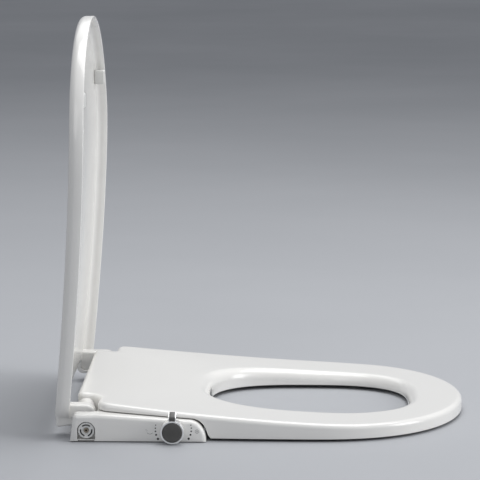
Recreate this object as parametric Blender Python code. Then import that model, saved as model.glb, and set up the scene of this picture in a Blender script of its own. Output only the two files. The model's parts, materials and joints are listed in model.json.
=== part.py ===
"""Mechanical bidet toilet seat: a seat ring and a lid on one hinge line, over a flat water unit
with a control arm on the user's right.

Axes: the user faces -Y, +X is the user's left, +Z is up. The origin lies under the water unit,
on the surface it stands on. Sizes are in millimetres and become metres where meshes are made.
A length along the seat is measured back from the seat's front tip and called s.
"""
import math

import bmesh
import bpy
from mathutils import Matrix, Vector

MM = 0.001
GAP = 0.3                    # between pieces that touch

# ---- overall sizes -----------------------------------------------------------------------------
SEAT_WIDTH = 376.0           # widest place of the seat ring
HALF = SEAT_WIDTH / 2.0
HINGE_S = 444.5              # the hinge line, measured back from the front tip
NOSE_LENGTH = 0.415 * HINGE_S  # front tip to the widest place
NOSE_POWER = 2.48            # fullness of the front outline along the seat
SIDE_POWER = 1.93            # fullness of the front outline across the seat
REAR_TAPER = 5.0             # how much each side draws in by TAPER_LENGTH behind the widest place
TAPER_LENGTH = 0.3476 * HINGE_S
ORIGIN_S = HINGE_S - 4.5     # the part's origin, measured back from the front tip

# ---- hinge line --------------------------------------------------------------------------------
HINGE_Z = 27.5
SHAFT_RADIUS = 3.2
SHAFT_CLEARANCE = 0.4
BARREL_RADIUS = 9.5
LID_ANGLE = 90.8             # from closed to open

# ---- seat ring ---------------------------------------------------------------------------------
SKIRT_BOTTOM = 2.6
SEAT_FRONT_TOP = 18.6
SEAT_RISE = 12.6             # extra height RISE_LENGTH behind RISE_START
RISE_START = 0.2655 * HINGE_S
RISE_LENGTH = HINGE_S - 120.504 - RISE_START  # the rise ends behind the arms' noses
SEAT_WALL = 3.5
SEAT_EDGE = 6.0              # radius of the outer edge
RIM_EDGE = 13.0              # radius of the rolled edge round the opening
OPENING_FRONT = 64.8
OPENING_REAR = HINGE_S - 139.3
OPENING_MIDDLE = (OPENING_FRONT + OPENING_REAR) / 2.0
OPENING_HALF_LENGTH = (OPENING_REAR - OPENING_FRONT) / 2.0
OPENING_HALF_WIDTH = HALF - 77.0
OPENING_POWER = 3.0
RIM_BOTTOM = 4.0
RIM_BOTTOM_REAR = 20.0       # lifted over the nozzles
LIFT_HALF_WIDTH = (22.0, 40.0)   # full lift within the first, none beyond the second
TONGUE_HALF_WIDTH = HALF - 56.0
TONGUE_REAR = HINGE_S + 10.5
NOTCH_FRONT = HINGE_S - 15.5
CORNER = 15.0
NOTCH_COVE = 4.0             # radius of the notch's inner corner
TONGUE_CORNER = 7.2
TONGUE_SIDE_BOTTOM = 17.0
TONGUE_REAR_BOTTOM = 38.5
SEAT_PAD = (13.0, 22.0)      # half width and half length of a rest pad
SEAT_PAD_PLACES = ((0.146 * SEAT_WIDTH, 36.0), (HALF - 36.0, 0.522 * HINGE_S))

# ---- lid ---------------------------------------------------------------------------------------
LID_OVERHANG = 2.0
LID_GAP_FRONT = 1.5          # rim above the seat's top
LID_GAP_REAR = 0.6
LID_DEPTH = 17.0
LID_RECESS = 12.5            # rim to the inner panel
LID_WALL = 3.0
LID_EDGE = 8.0
LID_REAR = HINGE_S + 16.5
LID_NOTCH = HINGE_S - 3.5    # rear edge of the lid between its ears
LID_CORNER = 30.0
EAR_INNER = TONGUE_HALF_WIDTH + 18.0
EAR_WIDTH = 19.5
EAR_NOSE = 13.0              # from the hinge line forward
EAR_TOP = 6.5                # above the hinge line
LID_PAD = (7.0, 8.5, 2.2)    # half width, half length, proud of the rim
LID_PAD_S = 0.189 * HINGE_S

# ---- water unit --------------------------------------------------------------------------------
FLOOR = 3.0
UNIT_FRONT = HINGE_S - 106.5
UNIT_REAR = HINGE_S + 17.5
UNIT_HALF_WIDTH = HALF - 40.0
COVER_REAR = HINGE_S - 28.5
COVER_FRONT_TOP = 24.0
COVER_REAR_TOP = 33.0
COVER_WALL = 2.2
POST_OUTER = TONGUE_HALF_WIDTH - 6.5
POST_INNER = POST_OUTER - 24.5
ARM_FACE = HALF + 5.6
ARM_INNER = HALF - 36.0
ARM_NOSE = HINGE_S - 142.1
ARM_NOSE_LENGTH = 19.6
ARM_FRONT_TOP = 24.6
ARM_REAR_TOP = 31.6
ARM_REAR = HINGE_S + 15.5
ARM_STEP = NOTCH_FRONT
BLOCK_TOP = 31.2
ARM_WALL = 2.5
ARM_EDGE = 3.5
LEFT_FACE = HALF

# ---- knob --------------------------------------------------------------------------------------
KNOB_S = HINGE_S - 103.5
KNOB_Z = 13.8
KNOB_RING = 13.6
KNOB_DISC = 11.2
KNOB_DEPTH = 13.0
SPINDLE_RADIUS = 4.0
SPINDLE_LENGTH = 28.0
VALVE_START = -ARM_FACE + ARM_WALL + GAP
VALVE_LENGTH = 28.0
VALVE_RADIUS = 8.0
LEVER_WIDTH = 9.0
LEVER_TOP = 36.8

# ---- inlet -------------------------------------------------------------------------------------
INLET_S = HINGE_S - 4.2
INLET_Z = 12.8
INLET_RADIUS = 9.4
CORE_RADIUS = 2.7
NICHE_HALF_WIDTH = 10.2
NICHE_DEPTH = 9.0

# ---- nozzles -----------------------------------------------------------------------------------
NOZZLE_RADIUS = 4.2
NOZZLE_FLANGE = NOZZLE_RADIUS + 1.8
NOZZLE_LENGTH = 62.0
NOZZLE_SPACING = 18.0
NOZZLE_SLOPE = 5.0
NOZZLE_TIP_S = UNIT_FRONT + 8.0
NOZZLE_TIP_Z = 13.0
GUIDE_START = 6.0            # behind the nozzle's tip
GUIDE_WALL = 1.2
SPRING_RADIUS = NOZZLE_RADIUS + 1.0   # middle of the wire
SPRING_WIRE = 0.4            # radius of the wire
SPRING_TURNS = 8

# ---- fixings and hoses -------------------------------------------------------------------------
PLATE = (94.0, HINGE_S - 20.5, HINGE_S + 5.5, 2.0)   # half width, front, rear, thickness
SLOT = (78.0, 14.0, 3.4)               # middle, half length, half width
SLOT_S = ORIGIN_S
SCREW_PLACES = ((UNIT_HALF_WIDTH - 12.0, UNIT_FRONT + 12.0),
                (UNIT_HALF_WIDTH - 12.0, UNIT_FRONT + 66.0))
SCREW_HEAD = (3.5, 1.8)
SCREW_SHANK = (1.5, 11.0)
FOOT = (16.0, 5.0, 1.2)                # half width, half length, thickness
FOOT_PLACES = ((UNIT_HALF_WIDTH - 38.0, UNIT_FRONT + 28.0),
               (UNIT_HALF_WIDTH - 88.0, UNIT_FRONT + 72.0))
HOSE_RADIUS = 2.2
FEED_RADIUS = 2.2
BLOCK_INNER = ARM_FACE - NICHE_DEPTH - 2.0 * (ARM_WALL + FEED_RADIUS) - 0.7   # holds the feed hose
BUTTON = (13.0, 7.0, 5.0)              # half width, length, height

COLOURS = {
    "gloss_white": ((0.86, 0.86, 0.84), 0.18, 0.0),
    "satin_white": ((0.80, 0.80, 0.78), 0.35, 0.0),
    "rubber_white": ((0.78, 0.78, 0.76), 0.6, 0.0),
    "knob_grey": ((0.10, 0.095, 0.09), 0.4, 0.0),
    "knob_silver": ((0.78, 0.78, 0.78), 0.25, 1.0),
    "brass": ((0.63, 0.47, 0.24), 0.3, 1.0),
    "steel": ((0.62, 0.62, 0.63), 0.3, 1.0),
    "dark_plastic": ((0.05, 0.05, 0.055), 0.45, 0.0),
    "hose_white": ((0.72, 0.73, 0.73), 0.4, 0.0),
}


# ---- helpers -----------------------------------------------------------------------------------
def clear_scene():
    for obj in list(bpy.data.objects):
        bpy.data.objects.remove(obj, do_unlink=True)


def place(x, s, z):
    """Turn a place given by x, distance back from the tip and height into the part's metres."""
    return Vector((x * MM, (s - ORIGIN_S) * MM, z * MM))


def material(name):
    found = bpy.data.materials.get(name)
    if found:
        return found
    colour, roughness, metallic = COLOURS[name]
    made = bpy.data.materials.new(name)
    made.use_nodes = True
    shader = made.node_tree.nodes["Principled BSDF"]
    shader.inputs["Base Color"].default_value = (*colour, 1.0)
    shader.inputs["Roughness"].default_value = roughness
    shader.inputs["Metallic"].default_value = metallic
    return made


def finish(name, bm, finish_name, parent=None):
    """Make an object from bm, whose vertices are in the part's frame."""
    bmesh.ops.remove_doubles(bm, verts=bm.verts, dist=1e-7)
    bmesh.ops.recalc_face_normals(bm, faces=bm.faces)
    mesh = bpy.data.meshes.new(name)
    bm.to_mesh(mesh)
    bm.free()
    mesh.materials.append(material(finish_name))
    mesh.shade_smooth()
    mesh.set_sharp_from_angle(angle=math.radians(32))
    obj = bpy.data.objects.new(name, mesh)
    bpy.context.scene.collection.objects.link(obj)
    if parent:
        origin = parent.matrix_world.translation
        mesh.transform(Matrix.Translation(-origin))
        obj.parent = parent
    return obj


def joint_empty(name, at):
    empty = bpy.data.objects.new(name, None)
    empty.location = at
    bpy.context.scene.collection.objects.link(empty)
    bpy.context.view_layer.update()
    return empty


def prism(points, low, high, along):
    """A closed prism: points are (s, z) pairs for along X, or (x, s) pairs for along Z."""
    bm = bmesh.new()
    ends = []
    for level in (low, high):
        if along == "X":
            ring = [bm.verts.new(place(level, s, z)) for s, z in points]
        else:
            ring = [bm.verts.new(place(x, s, level)) for x, s in points]
        ends.append(ring)
    bm.faces.new(ends[0])
    bm.faces.new(ends[1])
    count = len(points)
    for i in range(count):
        j = (i + 1) % count
        bm.faces.new((ends[0][i], ends[0][j], ends[1][j], ends[1][i]))
    bmesh.ops.recalc_face_normals(bm, faces=bm.faces)
    return bm


def box(x0, x1, s0, s1, z0, z1):
    return prism([(s0, z0), (s1, z0), (s1, z1), (s0, z1)], min(x0, x1), max(x0, x1), "X")


def turned(profile, axis_from, axis_to, sides=32):
    """Turn (distance along, radius) pairs about the line between two places."""
    bm = bmesh.new()
    direction = (axis_to - axis_from).normalized()
    side = direction.orthogonal().normalized()
    other = direction.cross(side)
    rings = []
    for along, radius in profile:
        centre = axis_from + direction * along * MM
        if radius == 0.0:
            rings.append([bm.verts.new(centre)])
            continue
        ring = []
        for i in range(sides):
            turn = 2.0 * math.pi * i / sides
            out = side * math.cos(turn) + other * math.sin(turn)
            ring.append(bm.verts.new(centre + out * radius * MM))
        rings.append(ring)
    closed = len(rings[0]) > 1
    pairs = list(zip(rings, rings[1:]))
    if closed:
        pairs.append((rings[-1], rings[0]))
    for a, b in pairs:
        for i in range(sides):
            j = (i + 1) % sides
            if len(a) == 1:
                bm.faces.new((a[0], b[i], b[j]))
            elif len(b) == 1:
                bm.faces.new((a[i], a[j], b[0]))
            else:
                bm.faces.new((a[i], a[j], b[j], b[i]))
    bmesh.ops.recalc_face_normals(bm, faces=bm.faces)
    return bm


def rod(radius, length, chamfer=0.0):
    """The profile of a solid rod with chamfered ends."""
    if chamfer == 0.0:
        return [(0, 0.0), (0, radius), (length, radius), (length, 0.0)]
    return [(0, 0.0), (0, radius - chamfer), (chamfer, radius),
            (length - chamfer, radius), (length, radius - chamfer), (length, 0.0)]


def sleeve(inner, outer, length):
    return [(0, inner), (0, outer), (length, outer), (length, inner)]


def cut(obj, bm, name, operation="DIFFERENCE"):
    """Cut bm out of obj, or join it on, with a live Boolean."""
    tool = finish(name, bm, "steel")
    tool.hide_render = True
    tool.display_type = "WIRE"
    step = obj.modifiers.new(name, "BOOLEAN")
    step.operation = operation
    step.solver = "EXACT"
    step.object = tool
    return tool


def bevel(obj, width, segments=2, angle=30.0):
    step = obj.modifiers.new("edges", "BEVEL")
    step.width = width * MM
    step.segments = segments
    step.limit_method = "ANGLE"
    step.angle_limit = math.radians(angle)
    return step


# ---- outlines ----------------------------------------------------------------------------------
def half_width(s):
    """Half width of the seat ring at s."""
    if s < NOSE_LENGTH:
        reach = max(0.0, 1.0 - max(s, 0.0) / NOSE_LENGTH)
        return HALF * max(0.0, 1.0 - reach ** NOSE_POWER) ** (1.0 / SIDE_POWER)
    return HALF - REAR_TAPER * ((s - NOSE_LENGTH) / TAPER_LENGTH) ** 2


def seat_top(s):
    """Height of the seat's upper surface at s."""
    return SEAT_FRONT_TOP + SEAT_RISE * (max(0.0, s - RISE_START) / RISE_LENGTH) ** 1.5


def fillet(corner, before, after, radius, steps=5):
    """Points of a round corner between two neighbouring points."""
    corner, before, after = Vector(corner), Vector(before), Vector(after)
    d0 = (before - corner).normalized()
    d1 = (after - corner).normalized()
    half = math.acos(max(-1.0, min(1.0, d0.dot(d1)))) / 2.0
    reach = radius / math.tan(half)
    centre = corner + (d0 + d1).normalized() * radius / math.sin(half)
    a = corner + d0 * reach - centre
    b = corner + d1 * reach - centre
    sweep = math.pi - 2.0 * half
    points = []
    for i in range(steps + 1):
        t = i / steps
        w0 = math.sin((1 - t) * sweep) / math.sin(sweep)
        w1 = math.sin(t * sweep) / math.sin(sweep)
        points.append(tuple(centre + a * w0 + b * w1))
    return points


def front_curve(count, until):
    """Points (x, s) of the right-hand half outline from the tip to s = until, tip first."""
    points = []
    for i in range(count + 1):
        t = i / count
        s = until * t ** 2.0 if t < 0.35 else until * (0.1225 + (t - 0.35) / 0.65 * 0.8775)
        points.append((half_width(s), s))
    return points


def seat_outline():
    """Closed outline (x, s) of the seat ring with its notched rear corners."""
    side = front_curve(22, ARM_NOSE - 8.0)
    nose_end = ARM_NOSE + ARM_NOSE_LENGTH
    for share in (0.62, 0.86, 1.0):
        side.append((half_width(ARM_NOSE - 8.0 + 6.0 * share), ARM_NOSE - 8.0 + 6.0 * share))
    for i in range(1, 7):
        s = ARM_NOSE - 2.0 + (nose_end - ARM_NOSE + 2.0) * (i / 6.0) ** 2
        side.append((half_width(s), s))
    rear_run = NOTCH_FRONT - CORNER - 4.0 - nose_end
    for i in range(1, 6):
        s = nose_end + rear_run * i / 5.0
        side.append((half_width(s), s))
    edge = half_width(NOTCH_FRONT)
    outer = (edge, NOTCH_FRONT)
    inner = (TONGUE_HALF_WIDTH, NOTCH_FRONT)
    tail = (TONGUE_HALF_WIDTH, TONGUE_REAR)
    side += fillet(outer, side[-1], inner, CORNER)
    side.append((ARM_INNER - 1.0, NOTCH_FRONT))
    side += fillet(inner, outer, tail, NOTCH_COVE)
    side.append((TONGUE_HALF_WIDTH, HINGE_S - 2.0))
    side += fillet(tail, inner, (0.0, TONGUE_REAR), TONGUE_CORNER)
    side += [((TONGUE_HALF_WIDTH - 18.0) * share, TONGUE_REAR) for share in (1.0, 0.74, 0.47, 0.21)]
    left = side[1:]
    right = [(-x, s) for x, s in reversed(side)]
    return [side[0]] + left + [(0.0, TONGUE_REAR)] + right[:-1]


def normals_of(points):
    """Outward unit normals of a closed outline that runs tip, +X side, rear, -X side."""
    count = len(points)
    out = []
    for i in range(count):
        a = Vector(points[i - 1])
        b = Vector(points[(i + 1) % count])
        run = (b - a).normalized()
        out.append(Vector((run.y, -run.x)))
    return out


def arm_top(s):
    """Height of the control arm's upper edge at s."""
    nose_end = ARM_NOSE + ARM_NOSE_LENGTH
    if s <= ARM_NOSE:
        return 0.0
    if s < nose_end:
        reach = (nose_end - s) / ARM_NOSE_LENGTH
        return ARM_FRONT_TOP * math.sqrt(max(0.0, 1.0 - reach * reach))
    share = min(1.0, (s - nose_end) / (ARM_STEP - nose_end))
    return ARM_FRONT_TOP + (ARM_REAR_TOP - ARM_FRONT_TOP) * share


def outer_bottom(x, s):
    """Height of the seat skirt's lower edge at an outline point."""
    lift = 1.0
    if s >= TONGUE_REAR - 1.0 and abs(x) < TONGUE_HALF_WIDTH - 2.0:
        return TONGUE_REAR_BOTTOM
    if s > NOTCH_FRONT - 0.5 and abs(x) < TONGUE_HALF_WIDTH + 5.0:
        return TONGUE_SIDE_BOTTOM
    if s > ARM_NOSE - 2.0:
        return max(SKIRT_BOTTOM, min(arm_top(s + 2.4) + lift, ARM_REAR_TOP + lift))
    return SKIRT_BOTTOM


def opening_at(direction):
    """The opening's edge in a given direction (x, s) from its middle."""
    power = OPENING_POWER
    x, s = direction
    size = (abs(x / OPENING_HALF_WIDTH) ** power + abs(s / OPENING_HALF_LENGTH) ** power) ** (1 / power)
    return x / size, OPENING_MIDDLE + s / size


def rim_bottom(x, s):
    """Height of the opening's inner wall: lifted at the rear, where the nozzles pass."""
    share = max(0.0, min(1.0, (s - (OPENING_MIDDLE + 0.55 * OPENING_HALF_LENGTH))
                         / (0.3 * OPENING_HALF_LENGTH)))
    full, none = LIFT_HALF_WIDTH
    share = min(share, max(0.0, (none - abs(x)) / (none - full)))
    share = share * share * (3.0 - 2.0 * share)
    return RIM_BOTTOM + (RIM_BOTTOM_REAR - RIM_BOTTOM) * share


# ---- seat --------------------------------------------------------------------------------------
def seat_ring(parent):
    outline = seat_outline()
    normals = normals_of(outline)
    bm = bmesh.new()
    grid = []
    for (x, s), n in zip(outline, normals):
        ix, is_ = opening_at((x, s - OPENING_MIDDLE))
        back = Vector((ix, is_ - OPENING_MIDDLE)).normalized()
        column = []

        def outer(inset, z):
            return (x - n.x * inset, s - n.y * inset, z)

        def rim(outset, z):
            return (ix + back.x * outset, is_ + back.y * outset, z)

        low = outer_bottom(x, s)
        wall_top = max(low + 0.8, seat_top(s) - SEAT_EDGE)
        edge = seat_top(s) - wall_top
        column.append(outer(0.0, low))
        for i in range(4):
            turn = math.pi / 2 * i / 3
            inset = SEAT_EDGE * (1.0 - math.cos(turn))
            px, ps, _ = outer(inset, 0.0)
            top = seat_top(ps) - edge * (1.0 - math.sin(turn))
            column.append((px, ps, top if i else wall_top))
        a = Vector(outer(SEAT_EDGE, 0.0)[:2])
        b = Vector(rim(RIM_EDGE, 0.0)[:2])
        for i in range(1, 5):
            mid = a.lerp(b, i / 5)
            column.append((mid.x, mid.y, seat_top(mid.y)))
        for i in range(4):
            turn = math.pi / 2 * i / 3
            outset = RIM_EDGE * (1.0 - math.sin(turn))
            px, ps, _ = rim(outset, 0.0)
            top = seat_top(ps) - RIM_EDGE * (1.0 - math.cos(turn))
            column.append((px, ps, top))
        column.append(rim(0.0, rim_bottom(ix, is_)))
        column.append(rim(SEAT_WALL, rim_bottom(ix, is_)))
        px, ps, _ = rim(RIM_EDGE, 0.0)
        column.append((px, ps, seat_top(ps) - SEAT_WALL - 1.5))
        far = Vector(rim(RIM_EDGE, 0.0)[:2])
        near = Vector(outer(SEAT_WALL + 2.0, 0.0)[:2])
        for i in range(1, 4):
            mid = far.lerp(near, i / 3)
            column.append((mid.x, mid.y, seat_top(mid.y) - SEAT_WALL - 0.5))
        column.append(outer(SEAT_WALL, min(low, seat_top(s) - SEAT_WALL - 1.5)))
        grid.append([bm.verts.new(place(*p)) for p in column])
    rows = len(grid[0])
    count = len(grid)
    for i in range(count):
        j = (i + 1) % count
        for k in range(rows):
            m = (k + 1) % rows
            bm.faces.new((grid[i][k], grid[j][k], grid[j][m], grid[i][m]))
    obj = finish("seat_ring", bm, "gloss_white", parent)
    hole = turned(rod(SHAFT_RADIUS + SHAFT_CLEARANCE, 2 * TONGUE_HALF_WIDTH + 20.0),
                  place(-TONGUE_HALF_WIDTH - 10.0, HINGE_S, HINGE_Z),
                  place(TONGUE_HALF_WIDTH, HINGE_S, HINGE_Z), 24)
    cut(obj, hole, "seat_shaft_cutter")
    return obj


def seat_parts(parent):
    seat_ring(parent)
    for side, sign in (("right", -1), ("left", 1)):
        inner = TONGUE_HALF_WIDTH + GAP
        length = EAR_INNER - GAP - inner
        start = place(sign * inner, HINGE_S, HINGE_Z)
        end = place(sign * (inner + length), HINGE_S, HINGE_Z)
        profile = sleeve(SHAFT_RADIUS + SHAFT_CLEARANCE, BARREL_RADIUS, length)
        finish("seat_hinge_barrel_" + side, turned(profile, start, end, 28), "gloss_white", parent)
        for (px, ps), where in zip(SEAT_PAD_PLACES, ("front", "rear")):
            x = sign * px
            top = seat_top(ps - SEAT_PAD[1]) - SEAT_WALL - 1.6
            half_w, half_l = SEAT_PAD
            if where == "front":
                half_w, half_l = half_l, half_w
            pad = box(x - half_w, x + half_w, ps - half_l, ps + half_l, 0.0, top)
            obj = finish("seat_pad_%s_%s" % (where, side), pad, "rubber_white", parent)
            bevel(obj, 1.2)


# ---- lid ---------------------------------------------------------------------------------------
def lid_outline():
    """Closed outline (x, s) of the lid, lying closed over the seat."""
    points = []
    for x, s in front_curve(26, LID_REAR - LID_CORNER - 22.0):
        points.append((x, s))
    corner = (half_width(LID_REAR), LID_REAR)
    side = points + fillet(corner, points[-1], (0.0, LID_REAR), LID_CORNER, 6)
    side += [(half_width(LID_REAR) - LID_CORNER - 25.0 - 35.0 * i, LID_REAR) for i in range(3)]
    outline = [side[0]] + side[1:] + [(0.0, LID_REAR)] + [(-x, s) for x, s in reversed(side)][:-1]
    grown = []
    for (x, s), n in zip(outline, normals_of(outline)):
        reach = LID_OVERHANG if s < LID_REAR - LID_CORNER else 0.0
        grown.append((x + n.x * reach, s + n.y * reach))
    return grown


def lid_rim(s):
    """Height of the lid's rim over the closed seat at s."""
    share = min(1.0, max(0.0, s / NOTCH_FRONT))
    return seat_top(min(s, TONGUE_REAR)) + LID_GAP_FRONT + (LID_GAP_REAR - LID_GAP_FRONT) * share


def lid_open(vec):
    """Swing a place from the closed lid to the open one."""
    turn = Matrix.Rotation(math.radians(-LID_ANGLE), 4, "X")
    hinge = place(0.0, HINGE_S, HINGE_Z)
    return turn @ (vec - hinge) + hinge


def lid_shell(parent):
    outline = lid_outline()
    normals = normals_of(outline)
    middle = Vector((0.0, (LID_REAR - LID_OVERHANG) / 2.0))
    bm = bmesh.new()
    rings = []

    def ring(inset, height):
        made = []
        for (x, s), n in zip(outline, normals):
            px, ps = x - n.x * inset, s - n.y * inset
            made.append(bm.verts.new(lid_open(place(px, ps, height(ps)))))
        rings.append(made)

    def shrunk(inset, share, height):
        made = []
        for (x, s), n in zip(outline, normals):
            edge = Vector((x - n.x * inset, s - n.y * inset))
            p = middle.lerp(edge, share)
            made.append(bm.verts.new(lid_open(place(p.x, p.y, height(p.y)))))
        rings.append(made)

    def panel(s):
        return lid_rim(s) + LID_RECESS

    def back(s):
        return lid_rim(s) + LID_DEPTH

    for share in (0.25, 0.5, 0.75):
        shrunk(LID_WALL + 4.0, share, panel)
    ring(LID_WALL + 4.0, panel)
    ring(LID_WALL + 1.2, lambda s: panel(s) - 1.2)
    ring(LID_WALL, lambda s: panel(s) - 4.0)
    ring(LID_WALL - 0.5, lambda s: lid_rim(s) + 0.8)
    ring(LID_WALL - 1.0, lid_rim)
    ring(0.8, lid_rim)
    ring(0.0, lambda s: lid_rim(s) + 0.8)
    for i in range(5):
        turn = math.pi / 2 * i / 4
        ring(LID_EDGE * (1 - math.cos(turn)),
             lambda s, t=turn: back(s) - LID_EDGE * (1 - math.sin(t)))
    for share in (0.75, 0.5, 0.25):
        shrunk(LID_EDGE, share, back)
    for a, b in zip(rings, rings[1:]):
        for i in range(len(a)):
            j = (i + 1) % len(a)
            bm.faces.new((a[i], a[j], b[j], b[i]))
    for end, height in ((rings[0], panel), (rings[-1], back)):
        tip = bm.verts.new(lid_open(place(middle.x, middle.y, height(middle.y))))
        for i in range(len(end)):
            bm.faces.new((end[i], end[(i + 1) % len(end)], tip))
    obj = finish("lid_shell", bm, "gloss_white", parent)
    half = EAR_INNER - 4.0
    corners = [(-half, LID_REAR + 9.0), (half, LID_REAR + 9.0)]
    corners += fillet((half, LID_NOTCH), (half, LID_REAR), (0.0, LID_NOTCH), NOTCH_COVE * 2.0)
    corners += fillet((-half, LID_NOTCH), (0.0, LID_NOTCH), (-half, LID_REAR), NOTCH_COVE * 2.0)
    notch = prism(corners, 10.0, 90.0, "Z")
    for v in notch.verts:
        v.co = lid_open(v.co)
    cut(obj, notch, "lid_notch")
    for side, sign in (("right", -1), ("left", 1)):
        cut(obj, lid_ear(sign), "lid_ear_" + side, "UNION")
    hole = turned(rod(SHAFT_RADIUS + SHAFT_CLEARANCE, 2 * (EAR_INNER + EAR_WIDTH) + 10.0),
                  place(-EAR_INNER - EAR_WIDTH - 5.0, HINGE_S, HINGE_Z),
                  place(EAR_INNER, HINGE_S, HINGE_Z), 24)
    cut(obj, hole, "lid_shaft_cutter")
    return obj


def lid_ear(sign):
    """The round-nosed ear that carries the open lid forward to the hinge line."""
    panel_s = HINGE_S + (lid_rim(TONGUE_REAR) + LID_RECESS + 1.0 - HINGE_Z)
    points = []
    steps = 9
    low = 13.0
    for i in range(steps + 1):
        turn = math.radians(-75.0 - 180.0 * i / steps)
        lift = EAR_TOP if math.sin(turn) > 0 else low
        points.append((HINGE_S + EAR_NOSE * math.cos(turn), HINGE_Z + lift * math.sin(turn)))
    points.append((panel_s, HINGE_Z + EAR_TOP))
    points.append((panel_s, HINGE_Z - low - 3.5))
    x0 = sign * EAR_INNER
    x1 = sign * (EAR_INNER + EAR_WIDTH)
    return prism(points, min(x0, x1), max(x0, x1), "X")


def lid_parts(parent):
    lid_shell(parent)
    half_w, half_l, proud = LID_PAD
    for side, sign in (("right", -1), ("left", 1)):
        x = sign * (half_width(LID_PAD_S - half_l) + LID_OVERHANG - LID_WALL - 4.0 - half_w)
        top = lid_rim(LID_PAD_S - half_l) + LID_RECESS - GAP
        bm = box(x - half_w, x + half_w, LID_PAD_S - half_l, LID_PAD_S + half_l,
                 lid_rim(LID_PAD_S) - min(proud, LID_GAP_FRONT - GAP), top)
        for v in bm.verts:
            v.co = lid_open(v.co)
        obj = finish("lid_pad_" + side, bm, "rubber_white", parent)
        bevel(obj, 1.2)


# ---- water unit --------------------------------------------------------------------------------
def base_floor():
    """The tray that stands on the bowl, with two hinge posts."""
    bm = box(-UNIT_HALF_WIDTH, UNIT_HALF_WIDTH, UNIT_FRONT, UNIT_REAR, 0.0, FLOOR)
    obj = finish("base_tray", bm, "satin_white")
    for side, sign in (("right", -1), ("left", 1)):
        points = [(HINGE_S - BARREL_RADIUS, FLOOR - 1.0), (HINGE_S - BARREL_RADIUS, HINGE_Z)]
        for i in range(1, 12):
            turn = math.pi - math.pi * i / 12
            points.append((HINGE_S + BARREL_RADIUS * math.cos(turn),
                           HINGE_Z + BARREL_RADIUS * math.sin(turn)))
        points += [(HINGE_S + BARREL_RADIUS, HINGE_Z), (HINGE_S + BARREL_RADIUS, FLOOR - 1.0)]
        x0, x1 = sorted((sign * POST_INNER, sign * POST_OUTER))
        cut(obj, prism(points, x0, x1, "X"), "post_" + side, "UNION")
        hole = turned(rod(SHAFT_RADIUS + SHAFT_CLEARANCE, POST_OUTER - POST_INNER + 4.0),
                      place(x0 - 2.0, HINGE_S, HINGE_Z), place(x1, HINGE_S, HINGE_Z), 24)
        cut(obj, hole, "post_bore_" + side)
        half_w, half_l, thick = FOOT
        for k, (x, s) in enumerate(FOOT_PLACES):
            pocket = box(sign * x - half_w - GAP, sign * x + half_w + GAP,
                         s - half_l - GAP, s + half_l + GAP, -1.0, thick + GAP)
            cut(obj, pocket, "foot_pocket_%d_%s" % (k, side))
        for k, (x, s) in enumerate(SCREW_PLACES):
            well = turned(rod(SCREW_HEAD[0] + GAP, 1.0 + SCREW_HEAD[1]),
                          place(sign * x, s, -1.0), place(sign * x, s, 9.0), 20)
            cut(obj, well, "screw_well_%d_%s" % (k, side))
            bore = turned(rod(SCREW_SHANK[0] + GAP, 6.0),
                          place(sign * x, s, -1.0), place(sign * x, s, 9.0), 16)
            cut(obj, bore, "screw_bore_%d_%s" % (k, side))
        cut(obj, slot_tool(sign, -1.0, FLOOR + 1.0), "tray_slot_" + side)
    return obj


def slot_tool(sign, low, high):
    """A round-ended slot along X for a mounting bolt."""
    middle, half_l, half_w = SLOT
    points = []
    for end in (1, -1):
        for i in range(9):
            turn = math.pi / 2 * end - math.pi * i / 8
            points.append((sign * middle + end * (half_l - half_w) + half_w * math.cos(turn),
                           SLOT_S + half_w * math.sin(turn)))
    return prism(points, low, high, "Z")


def fixings():
    """Mounting plate, release button, screws and feet."""
    half, front, rear, thick = PLATE
    low = FLOOR + GAP
    plate = finish("mounting_plate", box(-half, half, front, rear, low, low + thick), "steel")
    for side, sign in (("right", -1), ("left", 1)):
        cut(plate, slot_tool(sign, low - 1.0, low + thick + 1.0), "plate_slot_" + side)
        half_w, half_l, foot_thick = FOOT
        for k, (x, s) in enumerate(FOOT_PLACES):
            pad = box(sign * x - half_w, sign * x + half_w, s - half_l, s + half_l, 0.0, foot_thick)
            finish("foot_%s_%s" % (("front", "rear")[k], side), pad, "dark_plastic")
        for k, (x, s) in enumerate(SCREW_PLACES):
            head_r, head_h = SCREW_HEAD
            shank_r, shank_l = SCREW_SHANK
            shape = [(0.0, 0.0), (0.0, head_r), (head_h - 0.3, head_r), (head_h - 0.3, shank_r),
                     (shank_l, shank_r), (shank_l + 1.0, 0.0)]
            bm = turned(shape, place(sign * x, s, 0.2), place(sign * x, s, 9.0), 16)
            finish("cover_screw_%s_%s" % (("front", "rear")[k], side), bm, "steel")
    half_w, length, height = BUTTON
    start = UNIT_REAR - length - 0.5
    button = box(-half_w, half_w, start, start + length, low, low + height)
    bevel(finish("release_button", button, "satin_white"), 0.8)


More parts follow.
